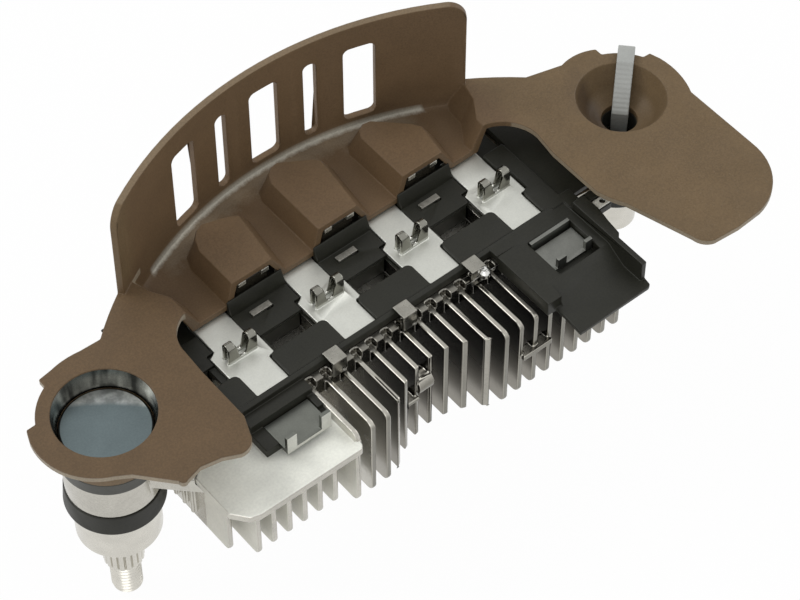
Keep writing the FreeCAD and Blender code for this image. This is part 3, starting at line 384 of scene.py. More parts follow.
@dataclass(frozen=True)
class Finish:
    """A finish with grain in its colour, gloss and surface.

    Attributes:
        name: name of the material.
        colour: display colour of 0 to 255.
        metallic: 1 for bare metal and 0 for coats and plastics.
        roughness: mean roughness.
        gloss_change: how far the roughness wanders either way.
        shade: how far the colour is darkened where the slow pattern is low.
        shade_size: size of the slow pattern in millimetres.
        grain: how far the colour is darkened where the fine pattern is low.
        grain_size: size of the fine pattern in millimetres.
        relief: height of the surface's grain in millimetres.
        relief_size: size of the surface's grain in millimetres.
        stretch: how much finer the grain is along each axis.
        regions: parts that look different.
        specular: strength of the sheen of a coat or plastic.
        rib: spacing of level ribs across the piece in millimetres, or 0 for none.
    """

    name: str
    colour: tuple[float, float, float]
    metallic: float = 0.0
    roughness: float = 0.5
    gloss_change: float = 0.06
    shade: float = 0.1
    shade_size: float = 9.0
    grain: float = 0.12
    grain_size: float = 0.3
    relief: float = 0.01
    relief_size: float = 0.35
    stretch: tuple[float, float, float] = (1.0, 1.0, 1.0)
    regions: tuple[Region, ...] = ()
    specular: float = 0.5
    rib: float = 0.0

    def surface_height(self, graph: Graph) -> bpy.types.NodeSocket:
        """Work out the surface's height pattern: its grain, or level ribs with a trace of grain.

        The height of the ribs is the sine of one turn per spacing along Z, stretched to 0 to 1.

        Args:
            graph: the material's nodes.

        Returns:
            The socket of the height.
        """
        grain = graph.noise(self.relief_size, OCTAVES, self.stretch)
        if not self.rib:
            return grain
        turned = graph.maths("MULTIPLY", graph.axis("Z"), 2 * math.pi / (self.rib * MM))
        ribs = graph.ramp(graph.maths("SINE", turned), -1.0, 1.0)
        return graph.maths("ADD", ribs, graph.maths("MULTIPLY", grain, RIB_GRAIN))

    def colour_socket(self, graph: Graph, colour: tuple[float, float, float]) -> bpy.types.NodeSocket:
        """Darken a display colour by a slow pattern and by a fine one.

        Args:
            graph: the material's nodes.
            colour: display colour of 0 to 255.

        Returns:
            The socket of the colour.
        """
        base = linear(*colour)
        slow = graph.ramp(graph.noise(self.shade_size, OCTAVES), *SLOW_RANGE)
        fine = graph.ramp(graph.noise(self.grain_size, stretch=self.stretch), *FINE_RANGE)
        dark = tuple(channel * (1 - self.shade) for channel in base[:3]) + (1.0,)
        light = tuple(min(channel * (1 + self.shade * 0.5), 1.0) for channel in base[:3]) + (1.0,)
        level = graph.maths("MULTIPLY_ADD", fine, self.grain, 1 - self.grain * 0.5)
        return graph.scaled(graph.blend(slow, dark, light), level)

    def over(self, graph: Graph, colour: bpy.types.NodeSocket) -> bpy.types.NodeSocket:
        """Lay a finish's own pattern over its colour; a plain finish has none."""
        return colour

    def build(self) -> bpy.types.Material:
        """Make the material.

        Returns:
            The new material.
        """
        graph = Graph(self.name)
        colour = self.over(graph, self.colour_socket(graph, self.colour))
        gloss = graph.ramp(graph.noise(self.shade_size * GLOSS_SIZE_SHARE, OCTAVES), *SLOW_RANGE,
                           self.roughness - self.gloss_change, self.roughness + self.gloss_change)
        metal: object = self.metallic
        for region in self.regions:
            share = region.mask(graph)
            patch = region.look(graph, self.colour_socket(graph, region.colour))
            colour = graph.blend(share, colour, patch)
            gloss = graph.mix(share, gloss, region.roughness)
            if isinstance(metal, bpy.types.NodeSocket) or metal != region.metallic:
                metal = graph.mix(share, metal, region.metallic)
        graph.join(colour, graph.shader.inputs["Base Color"])
        graph.join(gloss, graph.shader.inputs["Roughness"])
        graph.shader.inputs["Specular IOR Level"].default_value = self.specular
        if isinstance(metal, bpy.types.NodeSocket):
            graph.join(metal, graph.shader.inputs["Metallic"])
        else:
            graph.shader.inputs["Metallic"].default_value = metal
        graph.relief(self.surface_height(graph), self.relief)
        return graph.material


@dataclass(frozen=True)
class Coat(Finish):
    """The plate's brown coat with its light flecks.

    Attributes:
        fleck: display colour of the flecks.
        fleck_share: how strongly they show.
    """

    fleck: tuple[float, float, float] = (136, 122, 104)
    fleck_share: float = 0.22

    def over(self, graph: Graph, colour: bpy.types.NodeSocket) -> bpy.types.NodeSocket:
        """Strew the coat with flecks."""
        flecks = graph.ramp(graph.noise(FLECK_SIZE, 1.0), *FLECK_RANGE, 0.0, self.fleck_share)
        return graph.blend(flecks, colour, linear(*self.fleck))


# Spans and facings that several regions share: the depth of the fins, the sides of a fin, the forks of
# the terminals, the head of the stud and the cut rim of the ears.
FIN_DEPTH = ("Y", -60.0, -13.4)
SIDEWAYS = ("X", 0.6, 0.9)
FORKS = (("Z", 39.5, 47.0), ("Y", -3.0, 3.0))
STUD_HEAD = ("Z", 38.0, 47.0)
CUT_RIM = ("Z", 44.3, 45.8)


@dataclass(frozen=True)
class Finishes:
    """Every finish of the object, made once.

    Attributes:
        coat: the plate's coat. Its regions are the wall with the bridges, a painted grey sheen and a
        painted pale highlight along the bend of the wall's foot, the left ear darkened as painted
        shade, the cut rims of the left and right ear, painted shade on the near side of the bowl,
        the wall's upper edge and the bare metal in the stud's hole.
        nickel: the plated casting. Its regions are the fins right of the shelf, darkened as a painted
        dark reflection, the sides of the fins under the shelf, the sides of the other fins and their
        upper parts darkened as painted shade between the fins, the fronts of the fins darkened as a
        painted dark reflection, the front of the deck darkened as painted shade between the fins'
        roots, and the top of the shelf.
        steel: turned steel, with its grain along Z.
        stud: the stud, with a bright crescent on its head that is a painted highlight, a dark rim
        round the head that is painted shade, and a plain lower end.
        tin: the terminals, with darker forks and painted shade on the forks' sides.
        seat: the seats of the rear diodes.
        lead: the leads of the front diodes.
        clip: the clips, with a bead of solder on the third.
        contact: the contact plates, with the left one's own shade and a painted highlight on its edges.
        lug: the small lug beside the right ear.
        plastic: the moulding and the insulating cups.
        potting: the potting of the diodes.
        washer: the insulating rings.
        nylon: the strap, with fine ribs.
    """

    coat: Coat = Coat(
        "brown_coat", (106, 87, 61), roughness=0.55, shade=0.1, grain=0.2, grain_size=0.35,
        relief=0.012, relief_size=0.4, specular=0.35, regions=(
            Region((104, 83, 59), 0.55, 0.0, (("X", 22.0, 100.0), ("Y", -4.0, 40.0), ("Z", 30.0, 70.0)),
                   soft=2.0),
            # painted sheen: a grey haze along the foot of the wall
            Region((150, 141, 122), 0.4, 0.1, (("X", 30.0, 88.0), ("Z", 36.0, 41.5)),
                   centre=WALL_CENTRE, ring=(69.5, 73.6), soft=1.4, ragged=0.9, strength=0.35),
            # painted highlight: a pale line along the bend at the foot of the wall
            Region((192, 189, 176), 0.3, 0.2, (("X", 27.0, 91.0), ("Z", 38.0, 41.7)),
                   centre=WALL_CENTRE, ring=(72.7, 74.4), soft=0.35, ragged=0.2, strength=0.75),
            # painted shade: the left ear darker than the right one, which gets more light
            Region((92, 72, 50), 0.52, 0.0, (("X", -20.0, 26.0), ("Z", 44.0, 48.0)),
                   soft=2.5, strength=0.85),
            Region((158, 146, 126), 0.45, 0.0, (("X", -20.0, 24.0), CUT_RIM),
                   ring=(10.6, 60.0), soft=0.12, strength=0.8),
            Region((158, 146, 126), 0.45, 0.0, (("X", 99.0, 140.0), CUT_RIM),
                   centre=BOWL_CENTRE, ring=(12.0, 60.0), soft=0.12, strength=0.6),
            # painted shade on the near inner side of the bowl
            Region((64, 50, 37), 0.4, 0.0, (("X", 105.0, 117.5), ("Z", 30.0, 45.6)),
                   centre=BOWL_CENTRE, ring=(-5.0, 9.0), soft=1.2, strength=0.7),
            Region((140, 124, 100), 0.5, 0.0, (("Z", 67.6, 68.5),), strength=0.5),
            Region((150, 148, 141), 0.2, 1.0, (("Z", 41.4, 45.75),),
                   ring=(-5.0, 9.72), ragged=0.12, soft=0.03, streak=0.75),
        ))
    nickel: Finish = Finish(
        "plated_casting", (186, 183, 174), metallic=1.0, roughness=0.24, shade_size=6.0, grain=0.08,
        grain_size=0.5, relief=0.006, relief_size=0.5, regions=(
            # painted dark reflection: the fins right of the shelf are darkened so that lamp highlights
            # stand out
            Region((172, 169, 160), 0.2, spans=(("X", 40.0, 140.0), FIN_DEPTH), soft=2.0),
            Region((210, 208, 197), 0.5, 0.3, (("X", 5.0, 37.0), FIN_DEPTH), SIDEWAYS),
            # painted shade between the fins: their sides are darker
            Region((134, 130, 121), 0.3, 1.0, (("X", 42.0, 140.0), FIN_DEPTH), SIDEWAYS, soft=3.0),
            # painted shade between the fins, darkest on the upper parts of their sides
            Region((62, 60, 55), 0.26, 1.0, (("X", 46.0, 140.0), ("Z", 25.0, 46.0)), SIDEWAYS, soft=6.0),
            # painted dark reflection on the fronts of the fins
            Region((112, 110, 102), 0.25, 1.0, (("X", 38.0, 104.0), ("Y", -60.0, -14.5)),
                   ("Y", 0.72, 0.96), soft=1.0, strength=0.8),
            # painted shade between the roots of the fins on the front of the deck
            Region((92, 90, 83), 0.25, spans=(("Y", -14.2, -10.0), ("Z", 33.0, 38.0)),
                   soft=0.2, strength=0.7),
            Region((240, 241, 232), 0.55, 0.3, (("X", 5.0, 36.2), ("Z", 20.0, 34.6)), ("Z", 0.7, 0.95)),
        ))
    steel: Finish = Finish(
        "turned_steel", (206, 203, 194), metallic=1.0, roughness=0.28, shade=0.08, shade_size=4.0,
        grain=0.08, grain_size=0.4, relief=0.004, relief_size=0.3, stretch=(1.0, 1.0, 9.0))
    stud: Finish = Finish(
        "stud_face", (101, 112, 114), metallic=1.0, roughness=0.4, gloss_change=0.05, shade=0.06,
        shade_size=5.0, grain=0.1, grain_size=0.35, relief=0.003, relief_size=0.25, regions=(
            # painted highlight: a bright crescent on the far side of the stud's head
            Region((178, 181, 178), 0.3, spans=(STUD_HEAD,), centre=(-25.4, -30.9), ring=(45.0, 60.0),
                   soft=0.5, strength=0.8, streak=0.5),
            # painted shade: a dark rim round the stud's head where it meets the hole
            Region((34, 35, 34), 0.5, spans=(STUD_HEAD,), ring=(8.1, 9.5)),
            Region((206, 203, 194), 0.28, spans=(("Z", -10.0, 36.0),)),
        ))
    tin: Finish = Finish(
        "tinned_sheet", (203, 204, 197), metallic=1.0, roughness=0.46, gloss_change=0.03, shade=0.03,
        shade_size=3.0, grain=0.06, relief=0.004, relief_size=0.4, regions=(
            Region((136, 135, 127), 0.2, spans=FORKS, soft=0.3),
            # painted shade on the sides of the forks
            Region((120, 119, 111), 0.16, spans=FORKS, facing=("X", 0.4, 0.9), soft=0.3),
        ))
    seat: Finish = Finish(
        "bright_seat", (206, 203, 194), metallic=1.0, roughness=0.3, gloss_change=0.08,
        shade_size=3.0, grain=0.1, relief=0.006, relief_size=0.4)
    lead: Finish = Finish(
        "dull_lead", (150, 148, 140), metallic=1.0, roughness=0.4, gloss_change=0.08, shade=0.14,
        shade_size=1.2, grain=0.2, relief_size=0.4)
    clip: Finish = Finish(
        "clip_sheet", (150, 148, 140), metallic=1.0, roughness=0.3, shade=0.14, shade_size=2.0,
        grain=0.1, relief=0.006, relief_size=0.4, regions=(
            Region((214, 214, 210), 0.14,
                   spans=(("X", 73.0, 78.0), ("Y", -17.0, -13.95), ("Z", 37.0, 42.0))),
        ))
    contact: Finish = Finish(
        "contact_sheet", (122, 123, 118), metallic=1.0, roughness=0.42, gloss_change=0.05,
        shade_size=3.0, grain=0.1, relief=0.006, relief_size=0.4, regions=(
            Region((112, 114, 108), 0.36, spans=(("X", 0.0, 60.0),)),
            # painted highlight on the left contact plate's edges that face along Y
            Region((206, 206, 198), 0.4, 0.3, (("X", 0.0, 60.0),), ("Y", 0.6, 0.9)),
        ))
    lug: Finish = Finish(
        "lug_sheet", (226, 226, 217), metallic=0.2, roughness=0.36, gloss_change=0.05, shade=0.06,
        shade_size=3.0, grain=0.1, relief=0.004, relief_size=0.4)
    plastic: Finish = Finish(
        "black_moulding", (34, 34, 27), roughness=0.46, gloss_change=0.08, shade=0.12,
        shade_size=6.0, grain=0.3, grain_size=0.35, relief_size=0.4, specular=0.3)
    potting: Finish = Finish(
        "black_potting", (46, 43, 36), roughness=0.24, gloss_change=0.05, shade=0.12,
        shade_size=4.0, grain=0.2, grain_size=0.4, relief=0.03, relief_size=3.0)
    washer: Finish = Finish(
        "grey_insulator", (60, 60, 54), roughness=0.45, shade=0.12, shade_size=4.0, grain=0.2,
        relief=0.008, relief_size=0.4)
    nylon: Finish = Finish(
        "nylon_strap", (170, 172, 168), roughness=0.4, gloss_change=0.05, shade=0.06,
        shade_size=4.0, grain=0.06, grain_size=0.4, relief=0.03, relief_size=0.5, rib=0.7)


class Maker:
    """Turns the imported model's nodes into finished pieces."""

    def __init__(self, frame: dict) -> None:
        """Keep the loaded model.

        Args:
            frame: what loading the model gave.
        """
        self.nodes: dict[str, bpy.types.Object] = frame["nodes"]
        self.made: dict[str, bpy.types.Material] = {}
        self.finishes = Finishes()

    def material(self, finish: Finish) -> bpy.types.Material:
        """Give a finish's material, made on first use.

        Args:
            finish: the finish.

        Returns:
            Its material.
        """
        if finish.name not in self.made:
            self.made[finish.name] = finish.build()
        return self.made[finish.name]

    def link(self, mesh: bpy.types.Mesh, name: str, finish: Finish) -> bpy.types.Object:
        """Put a mesh into the scene as a piece of the object.

        Args:
            mesh: the mesh, with its place in its vertices.
            name: name of the piece.
            finish: its finish.

        Returns:
            The new object.
        """
        piece = bpy.data.objects.new(name, mesh)
        bpy.context.scene.collection.objects.link(piece)
        mesh.materials.clear()
        mesh.materials.append(self.material(finish))
        return piece

    def rounded(self, piece: bpy.types.Object, width_mm: float) -> None:
        """Round a piece's sharp edges a little.

        Args:
            piece: the piece.
            width_mm: width of the rounding.
        """
        edge = piece.modifiers.new("rounded_edges", "BEVEL")
        edge.width = width_mm * MM
        edge.segments = ROUND_STEPS
        edge.limit_method = "ANGLE"
        edge.angle_limit = math.radians(SHARP_DEGREES)
        edge.use_clamp_overlap = False
        edge.harden_normals = True
        edge.miter_outer = "MITER_ARC"

    def join_faces(self, work: bmesh.types.BMesh) -> None:
        """Join the loose triangles of a copied node into whole faces.

        Args:
            work: the copy's mesh.
        """
        bmesh.ops.remove_doubles(work, verts=work.verts, dist=JOIN_DISTANCE)
        bmesh.ops.dissolve_degenerate(work, edges=work.edges, dist=SHORT_EDGE)
        bmesh.ops.dissolve_limit(work, angle_limit=math.radians(FLAT_DEGREES), verts=work.verts,
                                 edges=work.edges)

    def cut_away(self, work: bmesh.types.BMesh, level_mm: float) -> None:
        """Cut away what lies below a height and close the cut.

        Args:
            work: the mesh.
            level_mm: the height.
        """
        bmesh.ops.bisect_plane(work, geom=work.verts[:] + work.edges[:] + work.faces[:],
                               plane_co=(0, 0, level_mm * MM), plane_no=(0, 0, -1), clear_outer=True)
        rim = [edge for edge in work.edges if edge.is_boundary]
        bmesh.ops.holes_fill(work, edges=rim, sides=0)

    def shade(self, work: bmesh.types.BMesh, degrees: float) -> None:
        """Shade a mesh smooth, apart from its open and its sharp edges.

        Args:
            work: the mesh.
            degrees: edges that turn by this much or more are sharp.
        """
        for face in work.faces:
            face.smooth = True
        for edge in work.edges:
            edge.smooth = edge.is_manifold and edge.calc_face_angle(0.0) < math.radians(degrees)

    def copy(self, node: str, name: str, finish: Finish, width_mm: float,
             cut_below: float | None = None,
             soften: Callable[[bmesh.types.BMEdge], bool] | None = None, soften_mm: float = 1.2,
             split: Callable[[bmesh.types.BMFace], bool] | None = None,
             reshape: Callable[[np.ndarray], np.ndarray] | None = None) -> bpy.types.Object:
        """Copy a node of the model into a piece with joined faces and rounded edges.

        Args:
            node: name of the node.
            name: name of the piece.
            finish: its finish.
            width_mm: width of the rounding of its edges.
            cut_below: height in millimetres below which the copy is cut away.
            soften: function that picks edges to round off well, such as the lower corners of fins.
            soften_mm: width of that rounding.
            split: function that picks faces with windows or notches in them, which are split so
                that rounding their edges keeps the gaps open.
            reshape: function that moves the copy's points, an array of rows in millimetres.

        Returns:
            The piece, which stands for the node.
        """
        mesh = self.nodes[node].data.copy()
        mesh.name = name
        work = bmesh.new()
        work.from_mesh(mesh)
        self.join_faces(work)
        if cut_below is not None:
            self.cut_away(work, cut_below)
        if soften is not None:
            work.normal_update()
            picked_edges = [edge for edge in work.edges if soften(edge)]
            bmesh.ops.bevel(work, geom=picked_edges, offset=soften_mm * MM, segments=CORNER_STEPS,
                            profile=0.5, affect="EDGES", clamp_overlap=True)
        if reshape is not None:
            moved = reshape(np.array([vertex.co for vertex in work.verts]) / MM) * MM
            for vertex, place in zip(work.verts, moved):
                vertex.co = place
        if split is not None:
            work.normal_update()
            picked_faces = [face for face in work.faces if split(face)]
            bmesh.ops.triangulate(work, faces=picked_faces, quad_method="BEAUTY", ngon_method="BEAUTY")
        self.shade(work, SHARP_DEGREES)
        work.to_mesh(mesh)
        work.free()
        piece = self.link(mesh, name, finish)
        self.rounded(piece, width_mm)
        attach(piece, Body.ROOT.value)
        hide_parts(node)
        log.info("%s stands for %s", name, node)
        return piece

    def surface(self, name: str, points: np.ndarray, finish: Finish, slot: str) -> bpy.types.Object:
        """Make a closed, turned piece from a grid of points, with its first and last row filled.

        Args:
            name: name of the piece.
            points: array of rows, columns and coordinates in millimetres. Each row is a closed ring.
            finish: its finish.
            slot: name of a material slot in the record; it is not used.

        Returns:
            The new piece.
        """
        rows, columns = points.shape[:2]
        u, w = np.meshgrid(np.arange(rows - 1) * columns, np.arange(columns), indexing="ij")
        w_next = (w + 1) % columns
        faces = np.stack([u + w, u + w_next, u + columns + w_next, u + columns + w],
                         axis=-1).reshape(-1, 4).tolist()
        faces.append(list(range(columns - 1, -1, -1)))
        faces.append(list(range((rows - 1) * columns, rows * columns)))
        mesh = bpy.data.meshes.new(name)
        mesh.from_pydata((points.reshape(-1, 3) * MM).tolist(), [], faces)
        work = bmesh.new()
        work.from_mesh(mesh)
        bmesh.ops.remove_doubles(work, verts=work.verts, dist=GRID_JOIN_DISTANCE)
        bmesh.ops.recalc_face_normals(work, faces=work.faces)
        self.shade(work, GRID_SHARP_DEGREES)
        work.to_mesh(mesh)
        work.free()
        piece = self.link(mesh, name, finish)
        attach(piece, Body.ROOT.value)
        log.info("%s made from a grid of %d by %d", name, rows, columns)
        return piece


@dataclass
class NegativePlate:
    """The coated plate with its wall, bridges, collar and bowl.

    Attributes:
        maker: what makes the pieces.
        edge: width of the rounding of its edges in millimetres.
    """

    maker: Maker
    edge: float = 0.22

    def build(self) -> None:
        """Copy the plate and coat it."""
        self.maker.copy("negative_heat_sink", "coated_plate", self.maker.finishes.coat, self.edge)


@dataclass
class PositiveSink:
    """The finned casting with its shelf and bosses.

    Attributes:
        maker: what makes the pieces.
        edge: width of the rounding of its edges in millimetres.
        fin_foot: height of the fins' lower ends.
        fin_thick: thickness of a fin.
        fin_front: Y in front of which an edge belongs to the fins' fronts.
        near: how far a measured length may be off.
        least_turn: degrees by which the edge of a corner turns at least.
    """

    maker: Maker
    edge: float = 0.34
    fin_foot: float = 15.0
    fin_thick: float = 1.15
    fin_front: float = -14.0
    near: float = 0.05
    least_turn: float = 60.0

    def corner(self, edge: bmesh.types.BMEdge) -> bool:
        """Tell whether an edge is the sharp lower front corner of a fin.

        Args:
            edge: an edge of the casting.

        Returns:
            Whether it lies across a fin at its foot, in front, and turns sharply.
        """
        first, last = (vertex.co / MM for vertex in edge.verts)
        low = max(abs(first.z - self.fin_foot), abs(last.z - self.fin_foot)) < self.near
        across = abs(abs(first.x - last.x) - self.fin_thick) < self.near
        front = max(first.y, last.y) < self.fin_front
        sharp = edge.is_manifold and edge.calc_face_angle(0.0) > math.radians(self.least_turn)
        return low and across and front and sharp

    def build(self) -> None:
        """Copy the casting, round the lower corners of its fins and plate it."""
        self.maker.copy("positive_heat_sink", "finned_casting", self.maker.finishes.nickel, self.edge,
                        soften=self.corner)


@dataclass
class StudStack:
    """The output stud with its thread and the rings round it.

    Attributes:
        maker: what makes the pieces.
        crest: outer radius of the thread in millimetres.
        depth: depth of the thread.
        pitch: rise of one turn.
        start: height of its upper end.
        end: height of its lower end.
        rows: points along it.
        sides: points round it.
        wave_gain: how steep the wave's flanks are.
        wave_drop: how much of the wave is cut off as the flat root.
        tip: how much smaller the lower end's radius is than the crest.
        taper: how fast the radius grows above the lower end.
    """

    maker: Maker
    crest: float = 3.0
    depth: float = 0.42
    pitch: float = 1.0
    start: float = -0.2
    end: float = -9.5
    rows: int = 150
    sides: int = 40
    wave_gain: float = 1.35
    wave_drop: float = 0.18
    tip: float = 1.25
    taper: float = 0.95

    def thread(self) -> np.ndarray:
        """Points of the thread.

        A point at height z and angle a has the radius crest minus depth times a wave, where the wave
        is a rounded triangle of the turns passed, z / pitch minus a / 360 degrees. Near the lower end
        the radius is held under a cone, as a chamfered end is.

        Returns:
            Array of heights, angles and coordinates in millimetres.
        """
        heights = np.linspace(self.start, self.end, self.rows)
        angles = np.linspace(0.0, 2 * math.pi, self.sides, endpoint=False)
        z, a = np.meshgrid(heights, angles, indexing="ij")
        turns = (z / self.pitch - a / (2 * math.pi)) % 1.0
        wave = np.clip(np.abs(turns * 2 - 1) * self.wave_gain - self.wave_drop, 0.0, 1.0)
        cone = self.crest - self.tip + (z - self.end) * self.taper
        radius = np.minimum(self.crest - self.depth * (1 - wave), cone)
        return np.stack([radius * np.cos(a), radius * np.sin(a), z], axis=-1)

    def build(self) -> None:
        """Make the stud, its thread and its rings."""
        finishes = self.maker.finishes
        self.maker.copy("output_stud", "stud", finishes.stud, width_mm=0.1, cut_below=self.start)
        self.maker.surface("stud_thread", self.thread(), finishes.steel, slot="stud_metal")
        self.maker.copy("stud_upper_insulator", "stud_ring", finishes.washer, width_mm=0.15)
        self.maker.copy("stud_lower_insulator", "stud_cup", finishes.plastic, width_mm=0.25)
        self.maker.copy("stud_spacer", "stud_collar", finishes.steel, width_mm=0.3)


@dataclass
class RightEar:
    """The rings, sleeve and strap at the right ear.

    Attributes:
        maker: what makes the pieces.
    """

    maker: Maker

    def build(self) -> None:
        """Copy the rings, the sleeve and the strap."""
        finishes = self.maker.finishes
        self.maker.copy("ear_upper_insulator", "ear_ring", finishes.washer, width_mm=0.15)
        self.maker.copy("ear_lower_insulator", "ear_cup", finishes.plastic, width_mm=0.25)
        self.maker.copy("ear_sleeve", "ear_tube", finishes.steel, width_mm=0.2)
        self.maker.copy("tie_strap", "strap", finishes.nylon, width_mm=0.2)


@dataclass
class Terminals:
    """Four tinned terminals with folded forks.

    Attributes:
        maker: what makes the pieces.
        count: number of terminals.
        pad_top: height of the pads in millimetres.
        press: how far the forks are pressed down towards the pads, as the photo shows them.
        edge: width of the rounding of their edges.
        upright: least share by which a fork's front or rear faces along Y.
    """

    maker: Maker
    count: int = 4
    pad_top: float = 38.9
    press: float = 0.68
    edge: float = 0.24
    upright: float = 0.9

    def notched(self, face: bmesh.types.BMFace) -> bool:
        """Tell whether a face is the front or the rear of a fork, between whose prongs it is open."""
        return len(face.verts) > 4 and abs(face.normal.y) > self.upright

    def pressed(self, points: np.ndarray) -> np.ndarray:
        """Lower what stands above the pad: height h over the pad becomes h times press.

        Args:
            points: array of points by coordinates in millimetres.

        Returns:
            The array with the moved points.
        """
        over = np.maximum(points[:, 2] - self.pad_top, 0.0)
        result = points.copy()
        result[:, 2] -= over * (1.0 - self.press)
        return result

    def build(self) -> None:
        """Copy the terminals."""
        for number in range(1, self.count + 1):
            self.maker.copy(f"phase_terminal_{number}", f"terminal_{number}", self.maker.finishes.tin,
                            self.edge, split=self.notched, reshape=self.pressed)


@dataclass
class Diodes:
    """The blocks under the bridges and the potted cups in the deck.

    Attributes:
        maker: what makes the pieces.
        count: number of diodes of each kind.
    """

    maker: Maker
    count: int = 4

    def build(self) -> None:
        """Copy every piece of the eight diodes."""
        finishes = self.maker.finishes
        kinds = (
            ("negative_diode", "rear_block", finishes.potting, 0.2),
            ("negative_diode_base", "rear_seat", finishes.seat, 0.08),
            ("positive_diode_cup", "cup", finishes.plastic, 0.1),
            ("positive_diode", "cup_filling", finishes.potting, 0.15),
            ("positive_diode_lead", "lead", finishes.lead, 0.06),
        )
        for number in range(1, self.count + 1):
            for node, name, finish, width in kinds:
                self.maker.copy(f"{node}_{number}", f"{name}_{number}", finish, width)


@dataclass
class TerminalFrame:
    """The black moulding with its clips and contact plates.

    Attributes:
        maker: what makes the pieces.
        window_level: height of the level face that has the windows over the front diodes.
        apron: right and rear edge of the moulding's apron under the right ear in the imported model.
        reach: where these edges go, so that the apron fills the gap beside the ear as the photo shows.
        rear_from: X and height past which a point on the rear edge is the apron's.
        near: how far before an edge a point is still on it.
        window_corners: how many corners the face with the windows has at least.
        clips: number of clips.
    """

    maker: Maker
    window_level: float = 37.9
    apron: tuple[float, float] = (104.5, 11.0)
    reach: tuple[float, float] = (107.0, 15.2)
    rear_from: tuple[float, float] = (98.0, 37.0)
    near: float = 0.05
    window_corners: int = 40
    clips: int = 3

    def pierced(self, face: bmesh.types.BMFace) -> bool:
        """Tell whether a face is the large one with the windows."""
        level = self.window_level * MM
        return len(face.verts) > self.window_corners and all(
            abs(vertex.co.z - level) < LEVEL_GAP for vertex in face.verts)

    def bent(self, face: bmesh.types.BMFace) -> bool:
        """Tell whether a face of a folded sheet has more than four corners."""
        return len(face.verts) > 4

    def widened(self, points: np.ndarray) -> np.ndarray:
        """Move the right and the rear edge of the apron outwards.

        Args:
            points: array of points by coordinates in millimetres.

        Returns:
            The array with the moved points.
        """
        x, y, z = points.T
        result = points.copy()
        result[x > self.apron[0] - self.near, 0] = self.reach[0]
        rear = (x > self.rear_from[0]) & (y > self.apron[1] - self.near) & (z > self.rear_from[1])
        result[rear, 1] = self.reach[1]
        return result

    def build(self) -> None:
        """Copy the moulding, clips, contact plates and the small lug."""
        finishes = self.maker.finishes
        self.maker.copy("terminal_frame", "moulding", finishes.plastic, width_mm=0.18,
                        split=self.pierced, reshape=self.widened)
        for number in range(1, self.clips + 1):
            self.maker.copy(f"frame_clip_{number}", f"clip_{number}", finishes.clip, width_mm=0.2,
                            split=self.bent)
        for side in ("left", "right"):
            self.maker.copy(f"{side}_contact_plate", f"{side}_contact", finishes.contact, width_mm=0.09,
                            split=self.bent)
        self.maker.copy("right_contact_strip", "right_strip", finishes.contact, width_mm=0.07)
        self.maker.copy("sense_lug", "side_lug", finishes.lug, width_mm=0.08)


@dataclass(frozen=True)
class Lamp:
    """A soft square lamp.

    Attributes:
        name: name of the lamp.
        place: its place in millimetres.
        side: length of its sides in millimetres.
        power: its power in watts.
    """

    name: str
    place: tuple[float, float, float]
    side: float
    power: float


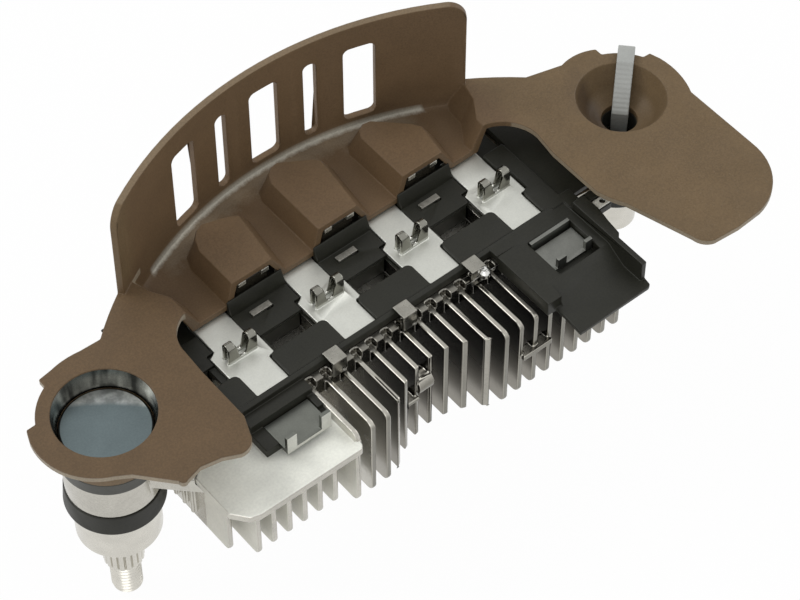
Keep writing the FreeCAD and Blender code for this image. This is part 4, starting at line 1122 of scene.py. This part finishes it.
@dataclass
class Studio:
    """Camera, lamps, floor and world.

    Attributes:
        camera_place: place of the camera in millimetres.
        azimuth: direction of view round the object in degrees.
        elevation: height of the view above the horizon in degrees.
        frame_width: width of the photo in pixels.
        focal: focal length in pixels.
        shift: how far the middle of the view is off the frame's middle in pixels.
        sensor: width of the camera's sensor in millimetres.
        far: greatest distance that the camera sees in metres.
        middle: the point that the lamps are aimed at, in millimetres.
        lamps: the lamps.
        soft_light: strength of the even light from all sides.
        floor_level: height of the floor in millimetres.
        floor_reach: how far the floor goes either way in millimetres.
        floor_points: points along a side of the floor.
        floor_colour: the floor's own colour, linear.
        floor_roughness: its roughness.
        floor_white: share of plain white in what the camera sees of the floor, so that the rest keeps
            the object's shadow.
    """

    camera_place: tuple[float, float, float] = (-143.84, -256.13, 449.56)
    azimuth: float = -39.47
    elevation: float = 52.11
    frame_width: float = 800.0
    focal: float = 2842.3
    shift: tuple[float, float] = (-0.6, -0.4)
    sensor: float = 36.0
    far: float = 50.0
    middle: tuple[float, float, float] = (58.0, -8.0, 36.0)
    lamps: tuple[Lamp, ...] = (
        Lamp("key", (-260.0, 420.0, 620.0), 420.0, 2.0),
        Lamp("fill", (-420.0, -380.0, 420.0), 520.0, 1.0),
        Lamp("side", (560.0, -120.0, 380.0), 420.0, 0.9),
    )
    soft_light: float = 0.5
    floor_level: float = -9.5
    floor_reach: float = 3000.0
    floor_points: int = 5
    floor_colour: tuple[float, float, float, float] = (0.94, 0.94, 0.94, 1.0)
    floor_roughness: float = 0.9
    floor_white: float = 0.97

    def aimed(self, place_mm: tuple[float, float, float], aim: Vector) -> Matrix:
        """Place a camera or lamp and point it along a direction.

        Args:
            place_mm: its place in millimetres.
            aim: the direction.

        Returns:
            The matrix of its place and turn.
        """
        turn = aim.to_track_quat("-Z", "Y").to_matrix().to_4x4()
        return Matrix.Translation(Vector(place_mm) * MM) @ turn

    def camera(self) -> None:
        """Place the camera and make it the scene's."""
        data = bpy.data.cameras.new("photo_camera")
        data.sensor_width = self.sensor
        data.lens = self.focal / self.frame_width * self.sensor
        data.shift_x = self.shift[0] / self.frame_width
        data.shift_y = self.shift[1] / self.frame_width
        data.clip_end = self.far
        camera = bpy.data.objects.new("photo_camera", data)
        around, above = math.radians(self.azimuth), math.radians(self.elevation)
        forward = Vector((-math.sin(around) * math.cos(above), math.cos(around) * math.cos(above),
                          -math.sin(above)))
        camera.matrix_world = self.aimed(self.camera_place, forward)
        bpy.context.scene.collection.objects.link(camera)
        bpy.context.scene.camera = camera

    def lights(self) -> None:
        """Put the lamps round the object, each aimed at its middle."""
        for lamp in self.lamps:
            data = bpy.data.lights.new(lamp.name, "AREA")
            data.shape = "SQUARE"
            data.size = lamp.side * MM
            data.energy = lamp.power
            piece = bpy.data.objects.new(lamp.name, data)
            aim = Vector(self.middle) * MM - Vector(lamp.place) * MM
            piece.matrix_world = self.aimed(lamp.place, aim)
            bpy.context.scene.collection.objects.link(piece)

    def world(self) -> None:
        """Light everything evenly, and show white to the camera."""
        world = bpy.data.worlds.new("studio_world")
        world.use_nodes = True
        tree = world.node_tree
        tree.nodes.clear()
        output = tree.nodes.new("ShaderNodeOutputWorld")
        path = tree.nodes.new("ShaderNodeLightPath")
        mix = tree.nodes.new("ShaderNodeMixShader")
        for number, strength in ((1, self.soft_light), (2, 1.0)):
            light = tree.nodes.new("ShaderNodeBackground")
            light.inputs["Color"].default_value = WHITE
            light.inputs["Strength"].default_value = strength
            tree.links.new(light.outputs[0], mix.inputs[number])
        shown = tree.nodes.new("ShaderNodeMath")
        shown.operation = "MAXIMUM"
        tree.links.new(path.outputs["Is Camera Ray"], shown.inputs[0])
        tree.links.new(path.outputs["Is Glossy Ray"], shown.inputs[1])
        tree.links.new(shown.outputs[0], mix.inputs[0])
        tree.links.new(mix.outputs[0], output.inputs["Surface"])
        bpy.context.scene.world = world

    def floor(self) -> None:
        """Lay a white floor that keeps a faint shadow of the object.

        The floor is the surface z = floor_level over a square grid.
        """
        side = np.linspace(-self.floor_reach, self.floor_reach, self.floor_points)
        x, y = np.meshgrid(side, side, indexing="ij")
        points = np.stack([x, y, np.full_like(x, self.floor_level)], axis=-1)
        index = np.arange(x.size).reshape(x.shape)
        faces = np.stack([index[:-1, :-1], index[1:, :-1], index[1:, 1:], index[:-1, 1:]],
                         axis=-1).reshape(-1, 4)
        mesh = bpy.data.meshes.new("floor")
        mesh.from_pydata((points.reshape(-1, 3) * MM).tolist(), [], faces.tolist())
        floor = bpy.data.objects.new("floor", mesh)
        bpy.context.scene.collection.objects.link(floor)
        graph = Graph("floor_white")
        graph.shader.inputs["Base Color"].default_value = self.floor_colour
        graph.shader.inputs["Roughness"].default_value = self.floor_roughness
        glow = graph.put("ShaderNodeEmission", None, {"Color": WHITE, "Strength": 1.0})
        path = graph.put("ShaderNodeLightPath")
        shown = graph.maths("MAXIMUM", path.outputs["Is Camera Ray"], path.outputs["Is Glossy Ray"])
        share = graph.maths("MULTIPLY", shown, self.floor_white)
        mix = graph.put("ShaderNodeMixShader", None,
                        {0: share, 1: graph.shader.outputs["BSDF"], 2: glow.outputs[0]})
        graph.join(mix.outputs[0], graph.output.inputs["Surface"])
        mesh.materials.append(graph.material)

    def build(self) -> None:
        """Set up the whole studio."""
        self.camera()
        self.lights()
        self.world()
        self.floor()
        bpy.context.scene.view_settings.view_transform = "Standard"


def main() -> None:
    """Build the scene: the studio first, then every sub-assembly."""
    logging.basicConfig(level=logging.INFO, format="%(name)s: %(message)s")
    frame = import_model()
    Studio().build()
    maker = Maker(frame)
    for assembly in (NegativePlate(maker), PositiveSink(maker), StudStack(maker), RightEar(maker),
                     Terminals(maker), Diodes(maker), TerminalFrame(maker)):
        assembly.build()
        log.info("%s built", type(assembly).__name__)


if __name__ == "__main__":
    main()
